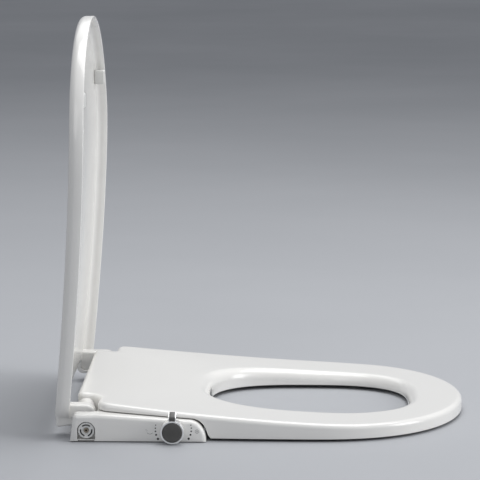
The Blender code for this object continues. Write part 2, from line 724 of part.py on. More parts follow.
def base_cover():
    """The cover over the nozzle bay; its front is open for the nozzles."""
    outer = [(UNIT_FRONT, FLOOR + GAP), (COVER_REAR, FLOOR + GAP),
             (COVER_REAR, COVER_REAR_TOP), (UNIT_FRONT + 8.0, COVER_FRONT_TOP),
             (UNIT_FRONT, COVER_FRONT_TOP - 6.0)]
    w = COVER_WALL
    inner = [(UNIT_FRONT + w, FLOOR - 1.0), (COVER_REAR - w, FLOOR - 1.0),
             (COVER_REAR - w, COVER_REAR_TOP - w - 0.4), (UNIT_FRONT + 8.5, COVER_FRONT_TOP - w),
             (UNIT_FRONT + w, COVER_FRONT_TOP - 6.8)]
    half = UNIT_HALF_WIDTH
    obj = finish("base_cover", prism(outer, -half, half, "X"), "satin_white")
    cut(obj, prism(inner, -half + w, half - w, "X"), "cover_hollow")
    mouth = NOZZLE_SPACING / 2 + NOZZLE_RADIUS + 6.0
    cut(obj, box(-mouth, mouth, UNIT_FRONT - 5.0, UNIT_FRONT + 12.0, 0.0, COVER_FRONT_TOP - 1.5),
        "nozzle_mouth")
    cut(obj, box(-half - 5.0, -half + 6.0, KNOB_S + 22.0, KNOB_S + 60.0, 0.0, 16.0), "hose_door")
    for side, sign in (("right", -1), ("left", 1)):
        for k, (x, s) in enumerate(SCREW_PLACES):
            share = (s - UNIT_FRONT - 8.0) / (COVER_REAR - UNIT_FRONT - 8.0)
            level = COVER_FRONT_TOP + (COVER_REAR_TOP - COVER_FRONT_TOP) * share - w / 2
            boss = turned(rod(4.0, level - FLOOR - GAP), place(sign * x, s, FLOOR + GAP),
                          place(sign * x, s, level), 16)
            cut(obj, boss, "boss_%d_%s" % (k, side), "UNION")
            hole = turned(rod(SCREW_SHANK[0] + GAP, SCREW_SHANK[1]), place(sign * x, s, FLOOR - 1.0),
                          place(sign * x, s, level), 16)
            cut(obj, hole, "boss_hole_%d_%s" % (k, side))
    return obj


# ---- control arm and left cover ----------------------------------------------------------------
def arm_profile(shrink):
    """Side outline (s, z) of the arm's round nose, drawn in by shrink."""
    points = []
    steps = 8
    for i in range(steps + 1):
        turn = math.pi / 2 * i / steps
        points.append((ARM_NOSE + ARM_NOSE_LENGTH - (ARM_NOSE_LENGTH - shrink) * math.cos(turn),
                       max(0.0, (ARM_FRONT_TOP - shrink) * math.sin(turn))))
    return points


def arm_shell(name, sign, face, finish_name):
    x_out = sign * face
    x_in = sign * ARM_INNER
    block = sign * BLOCK_INNER
    body = arm_profile(0.0) + [(ARM_STEP, ARM_REAR_TOP), (ARM_STEP + 7.0, BLOCK_TOP),
                               (ARM_REAR - 6.0, BLOCK_TOP), (ARM_REAR, 0.0)]
    obj = finish(name, prism(body, *sorted((x_in, x_out)), "X"), finish_name)
    room = box(x_in - sign * 10.0, block, ARM_STEP, ARM_REAR + 10.0, -5.0, ARM_REAR_TOP + 10.0)
    cut(obj, room, name + "_hinge_room")
    bevel(obj, ARM_EDGE, 3)
    w = ARM_WALL
    hollow = [(s, z) for s, z in arm_profile(w) if z > w + 0.5]
    hollow.insert(0, (hollow[0][0] - 0.5, w))
    hollow += [(ARM_STEP - w, ARM_REAR_TOP - w), (ARM_STEP - w, w)]
    cut(obj, prism(hollow, *sorted((x_in - sign * 5.0, x_out - sign * w)), "X"), name + "_hollow")
    tail = [(ARM_STEP - 12.0, w), (ARM_STEP - 12.0, BLOCK_TOP - w), (ARM_REAR - 6.0 - w, BLOCK_TOP - w),
            (ARM_REAR - w - 1.0, w)]
    tail_out = x_out - sign * (NICHE_DEPTH + w)
    cut(obj, prism(tail, *sorted((block + sign * w, tail_out)), "X"), name + "_tail")
    hole = turned(rod(SHAFT_RADIUS + SHAFT_CLEARANCE, w + 4.0),
                  place(block - sign * 2.0, HINGE_S, HINGE_Z),
                  place(x_out, HINGE_S, HINGE_Z), 24)
    cut(obj, hole, name + "_bore")
    return obj


def control_arm():
    obj = arm_shell("control_arm_cover", -1, ARM_FACE, "gloss_white")
    knob = turned(rod(SPINDLE_RADIUS + 1.0, 12.0),
                  place(-ARM_FACE - 4.0, KNOB_S, KNOB_Z), place(0.0, KNOB_S, KNOB_Z), 24)
    cut(obj, knob, "spindle_hole")
    points = [(INLET_S - NICHE_HALF_WIDTH, -1.0), (INLET_S - NICHE_HALF_WIDTH, INLET_Z)]
    for i in range(1, 12):
        turn = math.pi - math.pi * i / 12
        points.append((INLET_S + NICHE_HALF_WIDTH * math.cos(turn),
                       INLET_Z + NICHE_HALF_WIDTH * math.sin(turn)))
    points += [(INLET_S + NICHE_HALF_WIDTH, INLET_Z), (INLET_S + NICHE_HALF_WIDTH, -1.0)]
    cut(obj, prism(points, -ARM_FACE - 2.0, -ARM_FACE + NICHE_DEPTH, "X"), "niche")
    stem = turned(rod(CORE_RADIUS + GAP, NICHE_DEPTH + ARM_WALL + 6.0),
                  place(-ARM_FACE - 2.0, INLET_S, INLET_Z), place(0.0, INLET_S, INLET_Z), 24)
    cut(obj, stem, "stem_hole")
    return obj


# ---- knob --------------------------------------------------------------------------------------
def knob_parts(parent):
    face = -ARM_FACE - GAP
    start = place(face, KNOB_S, KNOB_Z)
    out = place(face - 20.0, KNOB_S, KNOB_Z)
    depth = KNOB_DEPTH
    ring = [(0.0, SPINDLE_RADIUS + GAP), (0.0, KNOB_RING - 1.0), (1.0, KNOB_RING), (depth - 1.0, KNOB_RING),
            (depth, KNOB_RING - 0.8), (depth, KNOB_DISC + GAP), (depth - 2.5, KNOB_DISC + GAP),
            (depth - 2.5, SPINDLE_RADIUS + GAP)]
    finish("knob_ring", turned(ring, start, out, 36), "knob_silver", parent)
    disc_start = place(face - depth + 2.5 - GAP, KNOB_S, KNOB_Z)
    disc = [(0.0, 0.0), (0.0, KNOB_DISC - 0.4), (0.4, KNOB_DISC), (2.2, KNOB_DISC), (2.8, KNOB_DISC - 0.8),
            (2.9, 0.0)]
    finish("knob_disc", turned(disc, disc_start, out, 36), "knob_grey", parent)
    low = KNOB_Z + KNOB_RING + GAP
    lever = [(-ARM_FACE - 9.5, low), (-ARM_FACE - 6.0, low), (-ARM_FACE - 5.0, LEVER_TOP - 9.0),
             (-ARM_FACE - 3.0, LEVER_TOP - 1.0), (-ARM_FACE - 5.2, LEVER_TOP),
             (-ARM_FACE - 8.0, LEVER_TOP - 8.0)]
    bm = bmesh.new()
    sides = []
    for s in (KNOB_S - LEVER_WIDTH / 2, KNOB_S + LEVER_WIDTH / 2):
        sides.append([bm.verts.new(place(x, s, z)) for x, z in lever])
    bm.faces.new(sides[0])
    bm.faces.new(sides[1])
    for i in range(len(lever)):
        j = (i + 1) % len(lever)
        bm.faces.new((sides[0][i], sides[0][j], sides[1][j], sides[1][i]))
    finish("knob_lever", bm, "knob_grey", parent)
    spindle = rod(SPINDLE_RADIUS, SPINDLE_LENGTH, 0.5)
    begin = place(face - depth + 2.5 + GAP, KNOB_S, KNOB_Z)
    finish("knob_spindle", turned(spindle, begin, place(0.0, KNOB_S, KNOB_Z), 24), "satin_white", parent)


def valve_parts():
    """The flow valve: a cup that the knob's spindle turns in."""
    x0 = VALVE_START
    depth = -ARM_FACE - KNOB_DEPTH + 2.5 + SPINDLE_LENGTH - x0 + GAP
    radius = SPINDLE_RADIUS + GAP
    body = [(depth, 0.0), (depth, radius), (0.0, radius), (0.0, VALVE_RADIUS),
            (16.0, VALVE_RADIUS), (16.0, VALVE_RADIUS - 1.5), (VALVE_LENGTH, VALVE_RADIUS - 1.5),
            (VALVE_LENGTH, 0.0)]
    finish("valve_body", turned(body, place(x0, KNOB_S, KNOB_Z), place(0.0, KNOB_S, KNOB_Z), 28),
           "dark_plastic")


# ---- inlet -------------------------------------------------------------------------------------
def inlet_parts():
    wall = -ARM_FACE + NICHE_DEPTH - GAP
    start = place(wall, INLET_S, INLET_Z)
    out = place(wall - 20.0, INLET_S, INLET_Z)
    hole = CORE_RADIUS + GAP
    nut = [(0.0, hole), (0.0, INLET_RADIUS), (6.5, INLET_RADIUS), (7.5, INLET_RADIUS - 1.0), (7.5, hole)]
    finish("inlet_fitting", turned(nut, start, out, 32), "satin_white")
    back = -ARM_WALL - GAP
    core = [(back, 1.2), (back, CORE_RADIUS), (6.8, CORE_RADIUS), (6.8, 1.2)]
    finish("inlet_core", turned(core, start, out, 24), "brass")


# ---- nozzles -----------------------------------------------------------------------------------
def nozzle_line(x):
    """The nozzle's tip and the direction it slides back along."""
    tip = place(x, NOZZLE_TIP_S, NOZZLE_TIP_Z)
    slope = math.radians(NOZZLE_SLOPE)
    back = Vector((0.0, math.cos(slope), math.sin(slope)))
    return tip, back


def nozzle_parts(name, x, parent):
    """A spray tube with the flange that its return spring pushes on."""
    tip, back = nozzle_line(x)
    r = NOZZLE_RADIUS
    body = [(0.0, 0.0), (0.0, r - 1.5), (1.5, r), (NOZZLE_LENGTH - 3.0, r),
            (NOZZLE_LENGTH - 3.0, NOZZLE_FLANGE), (NOZZLE_LENGTH, NOZZLE_FLANGE), (NOZZLE_LENGTH, 0.0)]
    finish("nozzle_" + name, turned(body, tip, tip + back, 20), "satin_white", parent)


def nozzle_guide(name, x):
    """The fixed tube round a nozzle: a collar in front, closed behind."""
    tip, back = nozzle_line(x)
    bore = NOZZLE_FLANGE + GAP + 0.1
    outside = bore + GUIDE_WALL
    collar = NOZZLE_RADIUS + GAP
    end = NOZZLE_LENGTH + 1.0
    shape = [(GUIDE_START, collar), (GUIDE_START, outside), (end + 2.0, outside), (end + 2.0, 1.6),
             (end, 1.6), (end, bore), (GUIDE_START + 2.0, bore), (GUIDE_START + 2.0, collar)]
    finish("nozzle_guide_" + name, turned(shape, tip, tip + back, 24), "dark_plastic")


def return_spring(name, x):
    """A round wire coil between the guide's collar and the nozzle's flange."""
    tip, back = nozzle_line(x)
    first = GUIDE_START + 2.0 + GAP + SPRING_WIRE
    last = NOZZLE_LENGTH - 3.0 - GAP - SPRING_WIRE
    side = Vector((1.0, 0.0, 0.0))
    other = back.cross(side)
    steps = SPRING_TURNS * 10
    sides = 5
    bm = bmesh.new()
    rings = []
    for i in range(steps + 1):
        turn = 2.0 * math.pi * SPRING_TURNS * i / steps
        out = side * math.cos(turn) + other * math.sin(turn)
        centre = tip + (back * (first + (last - first) * i / steps) + out * SPRING_RADIUS) * MM
        ring = []
        for k in range(sides):
            a = 2.0 * math.pi * k / sides
            ring.append(bm.verts.new(centre + (out * math.cos(a) + back * math.sin(a)) * SPRING_WIRE * MM))
        rings.append(ring)
    for a, b in zip(rings, rings[1:]):
        for k in range(sides):
            m = (k + 1) % sides
            bm.faces.new((a[k], a[m], b[m], b[k]))
    bm.faces.new(rings[0])
    bm.faces.new(rings[-1])
    finish("return_spring_" + name, bm, "steel")


def nozzle_shield():
    """The lip over the nozzles' mouth."""
    half = NOZZLE_SPACING / 2 + NOZZLE_RADIUS + 4.0
    low = NOZZLE_TIP_Z + NOZZLE_RADIUS + 1.2
    front = UNIT_FRONT - GAP - 2.0
    points = [(front, low), (front + 2.0, low), (front + 2.0, COVER_FRONT_TOP - 6.5), (front, low + 2.5)]
    finish("nozzle_shield", prism(points, -half, half, "X"), "satin_white")


def hose(name, points, radius):
    """A round hose on a smooth curve through its points (x, s, z)."""
    knots = [place(*p) for p in points]
    curve = bpy.data.curves.new(name, "CURVE")
    curve.dimensions = "3D"
    curve.bevel_depth = radius * MM
    curve.bevel_resolution = 2
    curve.use_fill_caps = True
    spline = curve.splines.new("POLY")
    smooth = []
    for i in range(len(knots) - 1):
        p0 = knots[max(0, i - 1)]
        p1, p2 = knots[i], knots[i + 1]
        p3 = knots[min(len(knots) - 1, i + 2)]
        for k in range(4):
            u = k / 4
            smooth.append(0.5 * (2 * p1 + (p2 - p0) * u + (2 * p0 - 5 * p1 + 4 * p2 - p3) * u * u
                                 + (3 * p1 - p0 - 3 * p2 + p3) * u ** 3))
    smooth.append(knots[-1])
    spline.points.add(len(smooth) - 1)
    for point, at in zip(spline.points, smooth):
        point.co = (*at, 1.0)
    curve.materials.append(material("hose_white"))
    obj = bpy.data.objects.new(name, curve)
    bpy.context.scene.collection.objects.link(obj)
    return obj


def hoses():
    """Inlet to valve, and valve to each nozzle guide."""
    valve_end = VALVE_START + VALVE_LENGTH + 3 * GAP
    inlet_x = -ARM_FACE + NICHE_DEPTH + ARM_WALL
    run_x = (inlet_x - BLOCK_INNER - ARM_WALL) / 2.0
    bend = FEED_RADIUS + 10.0
    hose("hose_feed", [(run_x, INLET_S + 5.0, INLET_Z), (run_x, INLET_S - 24.0, INLET_Z),
                       (inlet_x + 7.0, INLET_S - 44.0, INLET_Z), (inlet_x + 6.0, KNOB_S + 30.0, KNOB_Z),
                       (inlet_x + 6.0, KNOB_S + bend - 2.0, KNOB_Z)], FEED_RADIUS)
    reach = NOZZLE_LENGTH - 6.0
    s_end = NOZZLE_TIP_S + reach * math.cos(math.radians(NOZZLE_SLOPE))
    z_end = NOZZLE_TIP_Z + reach * math.sin(math.radians(NOZZLE_SLOPE))
    side = NOZZLE_SPACING / 2 + NOZZLE_FLANGE + GUIDE_WALL + 2 * GAP + 0.2
    door = KNOB_S + 40.0
    edge = UNIT_HALF_WIDTH
    low = FLOOR + HOSE_RADIUS + 1.0
    hose("hose_rear", [(valve_end, KNOB_S, KNOB_Z + 3.0), (valve_end + 3.0, KNOB_S, KNOB_Z + 3.0),
                       (valve_end + 8.0, KNOB_S + 6.0, KNOB_Z + 2.0),
                       (-edge - 2.0, door - 4.0, low + 5.5), (-edge + 23.0, door, low + 5.5),
                       (-60.0, s_end - 8.0, low + 6.0), (-side - 12.0, s_end, z_end), (-side, s_end, z_end)],
         HOSE_RADIUS)
    hose("hose_front", [(valve_end, KNOB_S, KNOB_Z - 3.0), (valve_end + 3.0, KNOB_S, KNOB_Z - 3.0),
                        (valve_end + 8.0, KNOB_S + 8.0, KNOB_Z - 4.0),
                        (-edge - 2.0, door + 4.0, low), (-edge + 23.0, door + 6.0, low),
                        (-60.0, s_end - 4.0, low),
                        (0.0, s_end - 6.0, low), (side + 8.0, s_end - 4.0, low + 1.0),
                        (side + 13.0, s_end, z_end - 5.0), (side + 7.0, s_end, z_end), (side, s_end, z_end)],
         HOSE_RADIUS)


def shafts(seat_parent, lid_parent):
    """Each shaft turns with the leaf that its damper brakes."""
    start = POST_INNER + 0.5
    end = BLOCK_INNER + ARM_WALL - GAP
    for side, sign, parent in (("right", -1, lid_parent), ("left", 1, seat_parent)):
        a = place(sign * start, HINGE_S, HINGE_Z)
        b = place(sign * end, HINGE_S, HINGE_Z)
        finish("hinge_shaft_" + side, turned(rod(SHAFT_RADIUS, end - start, 0.4), a, b, 24),
               "steel", parent)
        a = place(sign * (POST_INNER - GAP), HINGE_S, HINGE_Z)
        b = place(sign * 60.0, HINGE_S, HINGE_Z)
        body = [(0.0, 0.0), (0.0, 7.0), (1.0, 8.0), (34.0, 8.0), (35.0, 7.0), (35.0, 0.0)]
        finish("hinge_damper_" + side, turned(body, a, b, 28), "dark_plastic")


def build():
    clear_scene()
    hinge = place(0.0, HINGE_S, HINGE_Z)
    seat_axis = joint_empty("seat_axis", hinge)
    lid_axis = joint_empty("lid_axis", hinge)
    knob_axis = joint_empty("knob_axis", place(-ARM_FACE, KNOB_S, KNOB_Z))
    seat_parts(seat_axis)
    lid_parts(lid_axis)
    base_floor()
    base_cover()
    control_arm()
    arm_shell("left_cover", 1, LEFT_FACE, "gloss_white")
    knob_parts(knob_axis)
    valve_parts()
    inlet_parts()
    for name, sign in (("rear", -1), ("front", 1)):
        tip, _ = nozzle_line(sign * NOZZLE_SPACING / 2)
        x = sign * NOZZLE_SPACING / 2
        nozzle_parts(name, x, joint_empty("nozzle_axis_" + name, tip))
        nozzle_guide(name, x)
        return_spring(name, x)
    nozzle_shield()
    hoses()
    fixings()
    shafts(seat_axis, lid_axis)


build()
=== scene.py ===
# %% [markdown]
# # A mechanical bidet seat, dressed around its CAD frame
#
# The real object is a toilet seat and lid of glossy moulded plastic, hinged over a thin water unit.
# An arm on one side carries the spray knob and the water inlet. The CAD model already has every
# piece in its right place, so this script loads it, gives each piece its finish, and swaps the
# pieces whose outside the eye follows closely for smoother ones of the same size.

import json
import math

import bmesh
import bpy
from mathutils import Matrix, Vector


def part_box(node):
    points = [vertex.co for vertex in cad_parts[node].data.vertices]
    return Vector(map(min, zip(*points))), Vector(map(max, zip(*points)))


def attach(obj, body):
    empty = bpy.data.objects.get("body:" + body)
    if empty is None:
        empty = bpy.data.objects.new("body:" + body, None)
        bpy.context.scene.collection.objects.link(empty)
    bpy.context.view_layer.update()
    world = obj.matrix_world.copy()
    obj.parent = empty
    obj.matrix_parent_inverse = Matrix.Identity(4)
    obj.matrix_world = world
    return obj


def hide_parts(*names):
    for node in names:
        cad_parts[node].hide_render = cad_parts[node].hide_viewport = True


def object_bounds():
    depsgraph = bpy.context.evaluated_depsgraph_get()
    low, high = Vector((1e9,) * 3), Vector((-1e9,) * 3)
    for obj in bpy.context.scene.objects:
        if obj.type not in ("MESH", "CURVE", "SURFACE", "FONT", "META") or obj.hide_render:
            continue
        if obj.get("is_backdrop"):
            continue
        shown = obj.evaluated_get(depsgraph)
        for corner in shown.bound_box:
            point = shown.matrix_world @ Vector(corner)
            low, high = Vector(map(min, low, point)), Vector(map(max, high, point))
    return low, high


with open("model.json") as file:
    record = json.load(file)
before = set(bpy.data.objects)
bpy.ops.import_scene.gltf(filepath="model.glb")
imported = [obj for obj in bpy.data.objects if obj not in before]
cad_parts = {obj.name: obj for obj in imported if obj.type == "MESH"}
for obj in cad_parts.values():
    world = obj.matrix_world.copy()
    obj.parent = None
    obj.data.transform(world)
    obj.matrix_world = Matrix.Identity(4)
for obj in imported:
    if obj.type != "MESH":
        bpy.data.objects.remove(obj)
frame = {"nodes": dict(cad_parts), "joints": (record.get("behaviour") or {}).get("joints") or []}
cad_box = [list(corner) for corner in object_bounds()]
MM = 0.001
print("pieces in the frame:", len(frame["nodes"]))

# %% [markdown]
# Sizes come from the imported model, so a change there carries through. The seat's box gives its
# width and its front tip, and the record gives the line that the seat and the lid swing about.
# Lengths below are millimetres, measured back from the tip, because that is how the maker draws
# a seat: the curve of the nose first, then the sides, then the hinge.

# %% Sizes from the frame
seat_low, seat_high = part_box("seat_ring")
arm_low, arm_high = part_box("control_arm_cover")
left_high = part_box("left_cover")[1]
TIP_Y = seat_low.y
HALF_WIDTH = seat_high.x / MM
hinge = next(j for j in frame["joints"] if j["name"] == "lid_hinge")
HINGE = Vector(hinge["pos_m"])
HINGE_S = (HINGE.y - TIP_Y) / MM
HINGE_Z = HINGE.z / MM
LID_ANGLE = math.radians(hinge["range_deg"][1])


def spot(x, s, z):
    """A place in metres from x, the distance back from the tip, and the height, in millimetres."""
    return Vector((x * MM, TIP_Y + s * MM, z * MM))


print("half width %.1f, hinge at %.1f back and %.1f up" % (HALF_WIDTH, HINGE_S, HINGE_Z))

# %% [markdown]
# The seat seen from above is a superellipse in front and two nearly straight sides behind, and
# its top climbs towards the hinge. Both curves are short formulas, so the seat and the lid, which
# share them, fit each other everywhere.

# %% The curves that the seat and the lid share
NOSE_LENGTH = 184.5
NOSE_POWER = 2.48
SIDE_POWER = 1.93
REAR_TAPER = 5.0
TAPER_LENGTH = 154.5
FRONT_TOP = 18.6
RISE = 12.6
RISE_START = 118.0
RISE_LENGTH = 206.0


def half_width(s):
    """Half the seat's width at s."""
    if s < NOSE_LENGTH:
        reach = 1.0 - max(s, 0.0) / NOSE_LENGTH
        return HALF_WIDTH * max(0.0, 1.0 - reach ** NOSE_POWER) ** (1.0 / SIDE_POWER)
    return HALF_WIDTH - REAR_TAPER * ((s - NOSE_LENGTH) / TAPER_LENGTH) ** 2


def seat_top(s):
    """Height of the seat's top at s."""
    return FRONT_TOP + RISE * (max(0.0, s - RISE_START) / RISE_LENGTH) ** 1.5


def front_stations(until, step):
    """Places along the seat from the tip to until, close together round the nose."""
    turns = 44
    nose = [NOSE_LENGTH * (1.0 - math.cos(math.pi / 2 * i / turns)) for i in range(turns)]
    count = int((until - NOSE_LENGTH) / step) + 1
    return nose + [NOSE_LENGTH + (until - NOSE_LENGTH) * i / count for i in range(count + 1)]


def fillet(corner, before, after, radius, steps):
    """Points of a round corner between two neighbouring points."""
    corner, before, after = Vector(corner), Vector(before), Vector(after)
    d0, d1 = (before - corner).normalized(), (after - corner).normalized()
    half = math.acos(max(-1.0, min(1.0, d0.dot(d1)))) / 2.0
    centre = corner + (d0 + d1).normalized() * radius / math.sin(half)
    a = corner + d0 * radius / math.tan(half) - centre
    b = corner + d1 * radius / math.tan(half) - centre
    sweep = math.pi - 2.0 * half
    return [tuple(centre + (a * math.sin((1 - i / steps) * sweep)
                            + b * math.sin(i / steps * sweep)) / math.sin(sweep))
            for i in range(steps + 1)]


def outward(points):
    """Unit normals of a closed outline that runs tip, +X side, rear, -X side."""
    out = []
    for i in range(len(points)):
        run = (Vector(points[(i + 1) % len(points)]) - Vector(points[i - 1])).normalized()
        out.append(Vector((run.y, -run.x)))
    return out


print("width at the hinge: %.1f mm" % (2 * half_width(HINGE_S)))

# %% [markdown]
# Every piece goes through the same few steps: deselect all, work on one object, apply what its
# modifiers do, and put its place into its mesh. Small helpers keep those steps the same for all.

# %% Helpers for single pieces
def only(obj):
    """Leave obj alone selected and active."""
    if bpy.context.object and bpy.context.object.mode != "OBJECT":
        bpy.ops.object.mode_set(mode="OBJECT")
    bpy.ops.object.select_all(action="DESELECT")
    obj.select_set(True)
    bpy.context.view_layer.objects.active = obj


def modify(obj, kind, **values):
    """Add a modifier with these values and apply it."""
    only(obj)
    step = obj.modifiers.new(kind.lower(), kind)
    for name, value in values.items():
        setattr(step, name, value)
    bpy.ops.object.modifier_apply(modifier=step.name)


def boolean(obj, tool, operation="DIFFERENCE"):
    """Cut tool out of obj, or join it on, and drop the tool."""
    modify(obj, "BOOLEAN", object=tool, operation=operation, solver="EXACT")
    bpy.data.objects.remove(tool, do_unlink=True)


def settle(obj):
    """Put the object's place, turn and scale into its mesh."""
    only(obj)
    bpy.ops.object.transform_apply(location=True, rotation=True, scale=True)


def smooth(obj, degrees=35.0):
    only(obj)
    bpy.ops.object.shade_smooth_by_angle(angle=math.radians(degrees))


def dress(obj, name, body, finish, slot, *nodes):
    """Name a finished piece, give it its material, and let it ride in place of its CAD nodes."""
    obj.name = name
    obj.data.name = name
    obj.data.materials.clear()
    obj.data.materials.append(finish)
    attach(obj, body)
    if nodes:
        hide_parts(*nodes)
    print("%-24s %6d faces" % (name, len(obj.data.polygons)))
    return obj


def tidy_mesh(bm, name):
    """Turn a bmesh into an object with merged doubles and outward faces."""
    bmesh.ops.remove_doubles(bm, verts=bm.verts, dist=1e-6)
    bmesh.ops.recalc_face_normals(bm, faces=bm.faces)
    mesh = bpy.data.meshes.new(name)
    bm.to_mesh(mesh)
    bm.free()
    obj = bpy.data.objects.new(name, mesh)
    bpy.context.scene.collection.objects.link(obj)
    return obj


def loft(name, rings, close_ends=()):
    """Skin rings of places that all have the same count; each ring joins the next."""
    bm = bmesh.new()
    rows = [[bm.verts.new(p) for p in ring] for ring in rings]
    for a, b in zip(rows, rows[1:]):
        for i in range(len(a)):
            j = (i + 1) % len(a)
            bm.faces.new((a[i], a[j], b[j], b[i]))
    for end in close_ends:
        middle = sum((v.co for v in rows[end]), Vector()) / len(rows[end])
        tip = bm.verts.new(middle)
        for i in range(len(rows[end])):
            bm.faces.new((rows[end][i], rows[end][(i + 1) % len(rows[end])], tip))
    return tidy_mesh(bm, name)


def slab(name, outline, low, high):
    """Draw an outline of (s, z) points at x = low and extrude it to x = high."""
    mesh = bpy.data.meshes.new(name)
    mesh.from_pydata([spot(low, s, z) for s, z in outline], [], [range(len(outline))])
    obj = bpy.data.objects.new(name, mesh)
    bpy.context.scene.collection.objects.link(obj)
    only(obj)
    bpy.ops.object.mode_set(mode="EDIT")
    bpy.ops.mesh.select_all(action="SELECT")
    bpy.ops.mesh.extrude_region_move(TRANSFORM_OT_translate={"value": ((high - low) * MM, 0, 0)})
    bpy.ops.mesh.select_all(action="SELECT")
    bpy.ops.mesh.normals_make_consistent(inside=False)
    bpy.ops.object.mode_set(mode="OBJECT")
    return obj


def block(name, x0, x1, s0, s1, z0, z1):
    """A cube added at its size and place between these limits."""
    centre = (spot(x0, s0, z0) + spot(x1, s1, z1)) / 2
    bpy.ops.object.select_all(action="DESELECT")
    bpy.ops.mesh.primitive_cube_add(size=1.0, location=centre)
    obj = bpy.context.object
    obj.name = name
    obj.scale = (abs(x1 - x0) * MM, abs(s1 - s0) * MM, abs(z1 - z0) * MM)
    settle(obj)
    return obj


def drum(name, x0, x1, s, z, radius, sides=96):
    """A cylinder along X between x0 and x1."""
    bpy.ops.object.select_all(action="DESELECT")
    bpy.ops.mesh.primitive_cylinder_add(
        vertices=sides, radius=radius * MM, depth=abs(x1 - x0) * MM,
        location=spot((x0 + x1) / 2, s, z), rotation=(0.0, math.pi / 2, 0.0))
    obj = bpy.context.object
    obj.name = name
    settle(obj)
    return obj


print("helpers ready")

# %% [markdown]
# ## Finishes
#
# Moulded plastic is never one flat colour: it has faint cloudy patches from the mould, a very
# fine skin, and a gloss that changes slightly from place to place. One node group makes these
# three for every plastic and rubber, and each material sets its own colours and sizes.

# %% Node group: a moulded skin
def new_group(name, inputs, outputs):
    """An empty node group with these sockets: (name, kind, value) in, (name, kind) out."""
    group = bpy.data.node_groups.new(name, "ShaderNodeTree")
    for label, kind, value in inputs:
        socket = group.interface.new_socket(label, in_out="INPUT", socket_type=kind)
        socket.default_value = value
    for label, kind in outputs:
        group.interface.new_socket(label, in_out="OUTPUT", socket_type=kind)
    group.nodes.new("NodeGroupInput")
    group.nodes.new("NodeGroupOutput")
    return group


def node(tree, kind, **values):
    """A node with its properties and its unlinked inputs set."""
    made = tree.nodes.new(kind)
    for name, value in values.items():
        if name in made.inputs:
            made.inputs[name].default_value = value
        else:
            setattr(made, name, value)
    return made


COLOUR, NUMBER, ARROW = "NodeSocketColor", "NodeSocketFloat", "NodeSocketVector"
skin = new_group(
    "moulded_skin",
    [("Light", COLOUR, (0.8, 0.8, 0.8, 1)), ("Shade", COLOUR, (0.7, 0.7, 0.7, 1)),
     ("Patches", NUMBER, 9.0), ("Grain", NUMBER, 900.0), ("Gloss low", NUMBER, 0.1),
     ("Gloss high", NUMBER, 0.2), ("Height", NUMBER, 0.02)],
    [("Colour", COLOUR), ("Roughness", NUMBER), ("Normal", ARROW)])
source, sink = skin.nodes["Group Input"], skin.nodes["Group Output"]
where = node(skin, "ShaderNodeTexCoord")
clouds = node(skin, "ShaderNodeTexNoise", Detail=3.0, Roughness=0.55)
grain = node(skin, "ShaderNodeTexNoise", Detail=2.0, Roughness=0.6)
blend = node(skin, "ShaderNodeMix", data_type="RGBA")
soften = node(skin, "ShaderNodeMapRange")
soften.inputs["From Min"].default_value = 0.32
soften.inputs["From Max"].default_value = 0.68
gloss = node(skin, "ShaderNodeMapRange")
relief = node(skin, "ShaderNodeBump", Distance=0.0004)
link = skin.links.new
link(where.outputs["Object"], clouds.inputs["Vector"])
link(where.outputs["Object"], grain.inputs["Vector"])
link(source.outputs["Patches"], clouds.inputs["Scale"])
link(source.outputs["Grain"], grain.inputs["Scale"])
link(clouds.outputs["Fac"], soften.inputs["Value"])
link(soften.outputs["Result"], blend.inputs["Factor"])
link(source.outputs["Light"], blend.inputs[6])
link(source.outputs["Shade"], blend.inputs[7])
link(blend.outputs[2], sink.inputs["Colour"])
link(soften.outputs["Result"], gloss.inputs["Value"])
link(source.outputs["Gloss low"], gloss.inputs["To Min"])
link(source.outputs["Gloss high"], gloss.inputs["To Max"])
link(gloss.outputs["Result"], sink.inputs["Roughness"])
link(grain.outputs["Fac"], relief.inputs["Height"])
link(source.outputs["Height"], relief.inputs["Strength"])
link(relief.outputs["Normal"], sink.inputs["Normal"])
print("group moulded_skin:", len(skin.nodes), "nodes")

# %% [markdown]
# Metal shows the way it was worked. A second group draws the fine rings or lines of turning and
# polishing by stretching a noise along one direction, and lets them touch both colour and gloss.

# %% Node group: worked metal
metal = new_group(
    "worked_metal",
    [("Light", COLOUR, (0.8, 0.8, 0.8, 1)), ("Shade", COLOUR, (0.6, 0.6, 0.6, 1)),
     ("Along", ARROW, (1.0, 1.0, 1.0)), ("Gloss low", NUMBER, 0.15), ("Gloss high", NUMBER, 0.3),
     ("Height", NUMBER, 0.05)],
    [("Colour", COLOUR), ("Roughness", NUMBER), ("Normal", ARROW)])
source, sink = metal.nodes["Group Input"], metal.nodes["Group Output"]
where = node(metal, "ShaderNodeTexCoord")
stretch = node(metal, "ShaderNodeVectorMath", operation="MULTIPLY")
lines = node(metal, "ShaderNodeTexNoise", Scale=1.0, Detail=4.0, Roughness=0.65)
blend = node(metal, "ShaderNodeMix", data_type="RGBA")
gloss = node(metal, "ShaderNodeMapRange")
relief = node(metal, "ShaderNodeBump", Distance=0.0002)
link = metal.links.new
link(where.outputs["Object"], stretch.inputs[0])
link(source.outputs["Along"], stretch.inputs[1])
link(stretch.outputs["Vector"], lines.inputs["Vector"])
link(lines.outputs["Fac"], blend.inputs["Factor"])
link(source.outputs["Light"], blend.inputs[6])
link(source.outputs["Shade"], blend.inputs[7])
link(blend.outputs[2], sink.inputs["Colour"])
link(lines.outputs["Fac"], gloss.inputs["Value"])
link(source.outputs["Gloss low"], gloss.inputs["To Min"])
link(source.outputs["Gloss high"], gloss.inputs["To Max"])
link(gloss.outputs["Result"], sink.inputs["Roughness"])
link(lines.outputs["Fac"], relief.inputs["Height"])
link(source.outputs["Height"], relief.inputs["Strength"])
